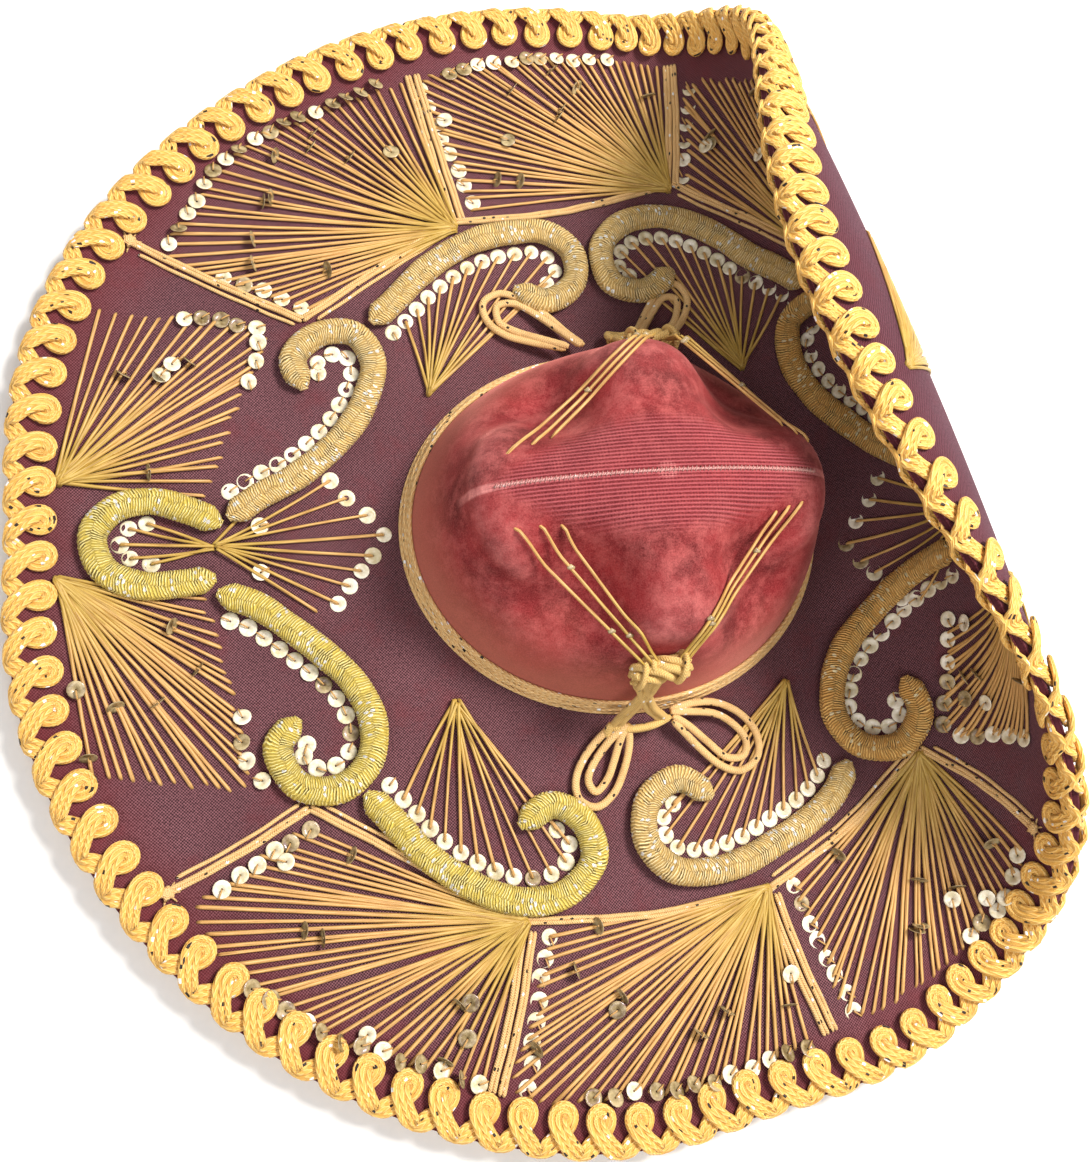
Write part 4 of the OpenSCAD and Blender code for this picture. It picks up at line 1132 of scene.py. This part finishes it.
def knots(stuff):
    """The wrapped lump on each side wall, its doubled legs, and the bow's own knot at the foot."""
    for side, sign, shift in (("left", -1, 0), ("right", 1, 26)):
        def at(x, y, z):
            return (x + shift, sign * y, z)
        drop, far = (0, 0) if side == "left" else (24, 5)
        core = [at(-16, 81 + far, 57 - drop), at(-8, 80 + far, 60 - drop), at(2, 79.5 + far, 62 - drop),
                at(9, 79.5 + far, 64 - drop)]
        strands = [round_cord(core, 7.0, 1.0, 12)[1]]
        # five plies twisted loosely along the lump, and two that bind it across
        t = np.linspace(0, 1, 60)
        middle = np.array([np.interp(t, np.linspace(0, 1, 4), np.array(core)[:, k]) for k in range(3)]).T
        swell = 0.55 + 0.45 * np.sin(math.pi * np.clip(t * 0.8 + 0.15, 0, 1))

        def turned_round(turn, out):
            return middle + np.stack([0 * t, -sign * 4.4 * out * np.cos(turn), 5.4 * out * np.sin(turn)], 1)
        for ply in range(5):
            line = turned_round(TURN * (ply / 5 + 0.8 * t) + 0.3 * np.sin(9 * t + ply), swell)
            strands.append(strand(line, upright(60), width=3.9, height=3.5, sides=9))
        for begin in (0.12, 0.72):
            turn = TURN * (t * 1.15 + begin)
            hoop = np.array([np.interp(begin + 0.16 * t, t, middle[:, k]) for k in range(3)]).T
            hoop += np.stack([2.2 * np.sin(turn + 1), -sign * 6.0 * np.cos(turn), 7.0 * np.sin(turn)], 1)
            strands.append(strand(hoop, np.tile([1.0, 0.0, 0.2], (60, 1)), width=3.4, height=2.8, sides=9))
        for lean in (0, 3.4):
            for leg in ([at(-13 + lean, 82 + far, 54 - drop), at(-9 + lean, 86 + far, 44 - drop),
                         at(-2 + lean, 91.5, 28 - drop / 4), at(5 + lean, 94, 17), at(9 + lean, 96, 12)],
                        [at(-4 + lean, 82 + far, 52 - drop), at(-7 + lean, 87.5 + far, 40 - drop),
                         at(-11 + lean, 92, 26 - drop / 4), at(-14 + lean, 95.5, 17),
                         at(-15 + lean, 98, 10)]):
                strands.append(round_cord(leg, BOW_CORD)[1])
        for lift in (0, 3.4):
            strands.append(round_cord([at(-17, 97, 9 + lift), at(-8, 99, 10 + lift), at(4, 98.5, 10 + lift),
                                       at(14, 95, 9.5 + lift)], BOW_CORD)[1])
        strands.append(round_cord([at(-16, 96, 15), at(-17, 100, 11), at(-13, 101, 8), at(-8, 100, 9),
                                   at(-8, 97, 14)], 4.2)[1])
        settle(gathered("knot_" + side, strands), stuff["knot cord"], "gold_cord", "knot_" + side)


def crown_threads(stuff):
    grid_a, grid_t = np.meshgrid(np.linspace(0, TURN, 361), np.linspace(0.02, 0.9, 90))
    skin = on_crown(grid_a.ravel(), grid_t.ravel(), 0.0)

    def over_skin(line):
        for p in line[1:-1]:
            near = skin[np.linalg.norm(skin[:, :2] - p[:2], axis=1) < 2.0]
            if len(near):
                p[2] = max(p[2], near[:, 2].max() + 0.9)
        smooth = line.copy()
        smooth[1:-1, 2] = (line[:-2, 2] + line[1:-1, 2] + line[2:, 2]) / 3
        return smooth
    groups = {
        "crown_threads_front_left": [((-12, -78, 66), (-69, -15, 77)), ((-8, -78, 66), (-58, -15, 80)),
                                     ((-5, -78, 66), (-48, -16, 82))],
        "crown_threads_back_left": [((3, -78, 67), (54, -15, 82)), ((5, -78, 67), (61, -12, 80)),
                                    ((7, -78, 67), (68, -10, 78))],
        "crown_threads_front_right": [((8, 76, 66), (-70, 11, 77)), ((11, 76, 66), (-57, 16, 80)),
                                      ((14, 76, 66), (-45, 22, 82))],
        "crown_threads_back_right": [((24, 75, 66), (64, 24, 80)), ((27, 74.5, 66), (71, 20, 79)),
                                     ((30, 74, 66), (77, 15, 76))],
    }
    for name, pairs in groups.items():
        strands, beads = [], []
        for n, (start, end) in enumerate(pairs):
            start, end = np.array(start, float), np.array(end, float)
            t = np.linspace(0, 1, 26)[:, None]
            line = over_skin(start + (end - start) * t)
            line[-1, 2] -= 1.5
            if "right" in name:
                below = np.array([17 + (start[0] - 8) * 0.55, 83.5, 41])
                line = np.vstack([below + (line[0] - below) * s for s in (0, 0.25, 0.5, 0.75)] + [line])
            up = upright(len(line))
            strands.append(strand(line, up, width=1.5, height=1.4, sides=6))
            for s in ((17, 5) if n == 1 else (6,) if n == 0 else ()):
                bead = line[s] + np.array([[-1.6, 0, 0.3], [0, 0.6, 0.5], [1.6, 0, 0.3]])
                beads.append(strand(bead, up[:3], width=2.6, height=2.0, sides=8))
        piece = gathered(name, strands + beads, [0] * len(strands) + [1] * len(beads))
        piece.data.materials.append(stuff["thread"])
        # the beads take the darker pearl: painted shade
        piece.data.materials.append(stuff["pearl in painted shade"])
        settle(piece, None, "gold_thread", name)


# ---- The scene ----


def floor(material):
    deselect()
    bpy.ops.mesh.primitive_grid_add(x_subdivisions=8, y_subdivisions=8, size=8, location=(0, 0, -0.0005))
    sheet = bpy.context.object
    sheet.name = "floor"
    bpy.ops.object.transform_apply(location=True)
    sheet.data.materials.append(material)


camera()
studio()
SEQUIN = sequin_shape()
STUFF = {
    "velvet": velvet_finish(),
    "seam": cord_finish("rose seam thread", "#E8BDB4", "#CC8C88", "#7A2A2E", 0.99, 0.0012),
    "felt": plain_cloth("maroon wool felt", "#5C2630", "#3C141C", 0.0009),
    "lining": plain_cloth("black cotton lining", "#3A3336", "#241F22", 0.0011),
    "leather": plain_cloth("brown sweatband leather", "#6B4A34", "#4A3122", 0.0016, 0.6),
    "canvas": canvas_finish("maroon cotton duck", "#905E64", "#280C12", "#7A282E"),
    "under canvas": canvas_finish("maroon cotton duck underside", "#7C4A56", "#2C0C14", "#6A242C"),
    "braid": cord_finish("braided gold rim cord", "#FFDA8C", "#F0B858", "#A06A24"),
    "cord": cord_finish("gold rayon cord", "#FADBA2", "#EDBE7C", "#A0702F", 0.96),
    "knot cord": cord_finish("gold knot cord", "#F6DC98", "#E4B868", "#94682C", 0.96),
    "thread": thread_finish("gold laid thread", "#D0A05E", "#B8973F", "#855924"),
    "lemon wrap": wrap_finish("lemon gold wrapped cord", "#FAEBA2", "#E0C454", "#8E7220"),
    "old wrap": wrap_finish("old gold wrapped cord", "#F8E2AC", "#E0BA6E", "#8C6428"),
    # painted shade: a darker, browner copy of the old gold wrap for the back scrolls
    "old wrap in painted shade": wrap_finish("old gold wrapped cord in painted shade", "#FFD684", "#E2A854", "#7A5020", "#FFEFC0"),
    "pearl": pearl_finish("cream pearl sequin", "#F8F1DA", "#CBBE92"),
    # painted shade: a darker copy of the pearl for sequins seen on edge
    "pearl in painted shade": pearl_finish("cream pearl sequin in painted shade", "#C3B184", "#6E5C36"),
}
crown(STUFF)
sweatband(STUFF)
brim_sheets(STUFF)
rim_braid(STUFF)
embroidery(STUFF)
hatband(STUFF)
bows(STUFF)
knots(STUFF)
crown_threads(STUFF)
floor(floor_finish())
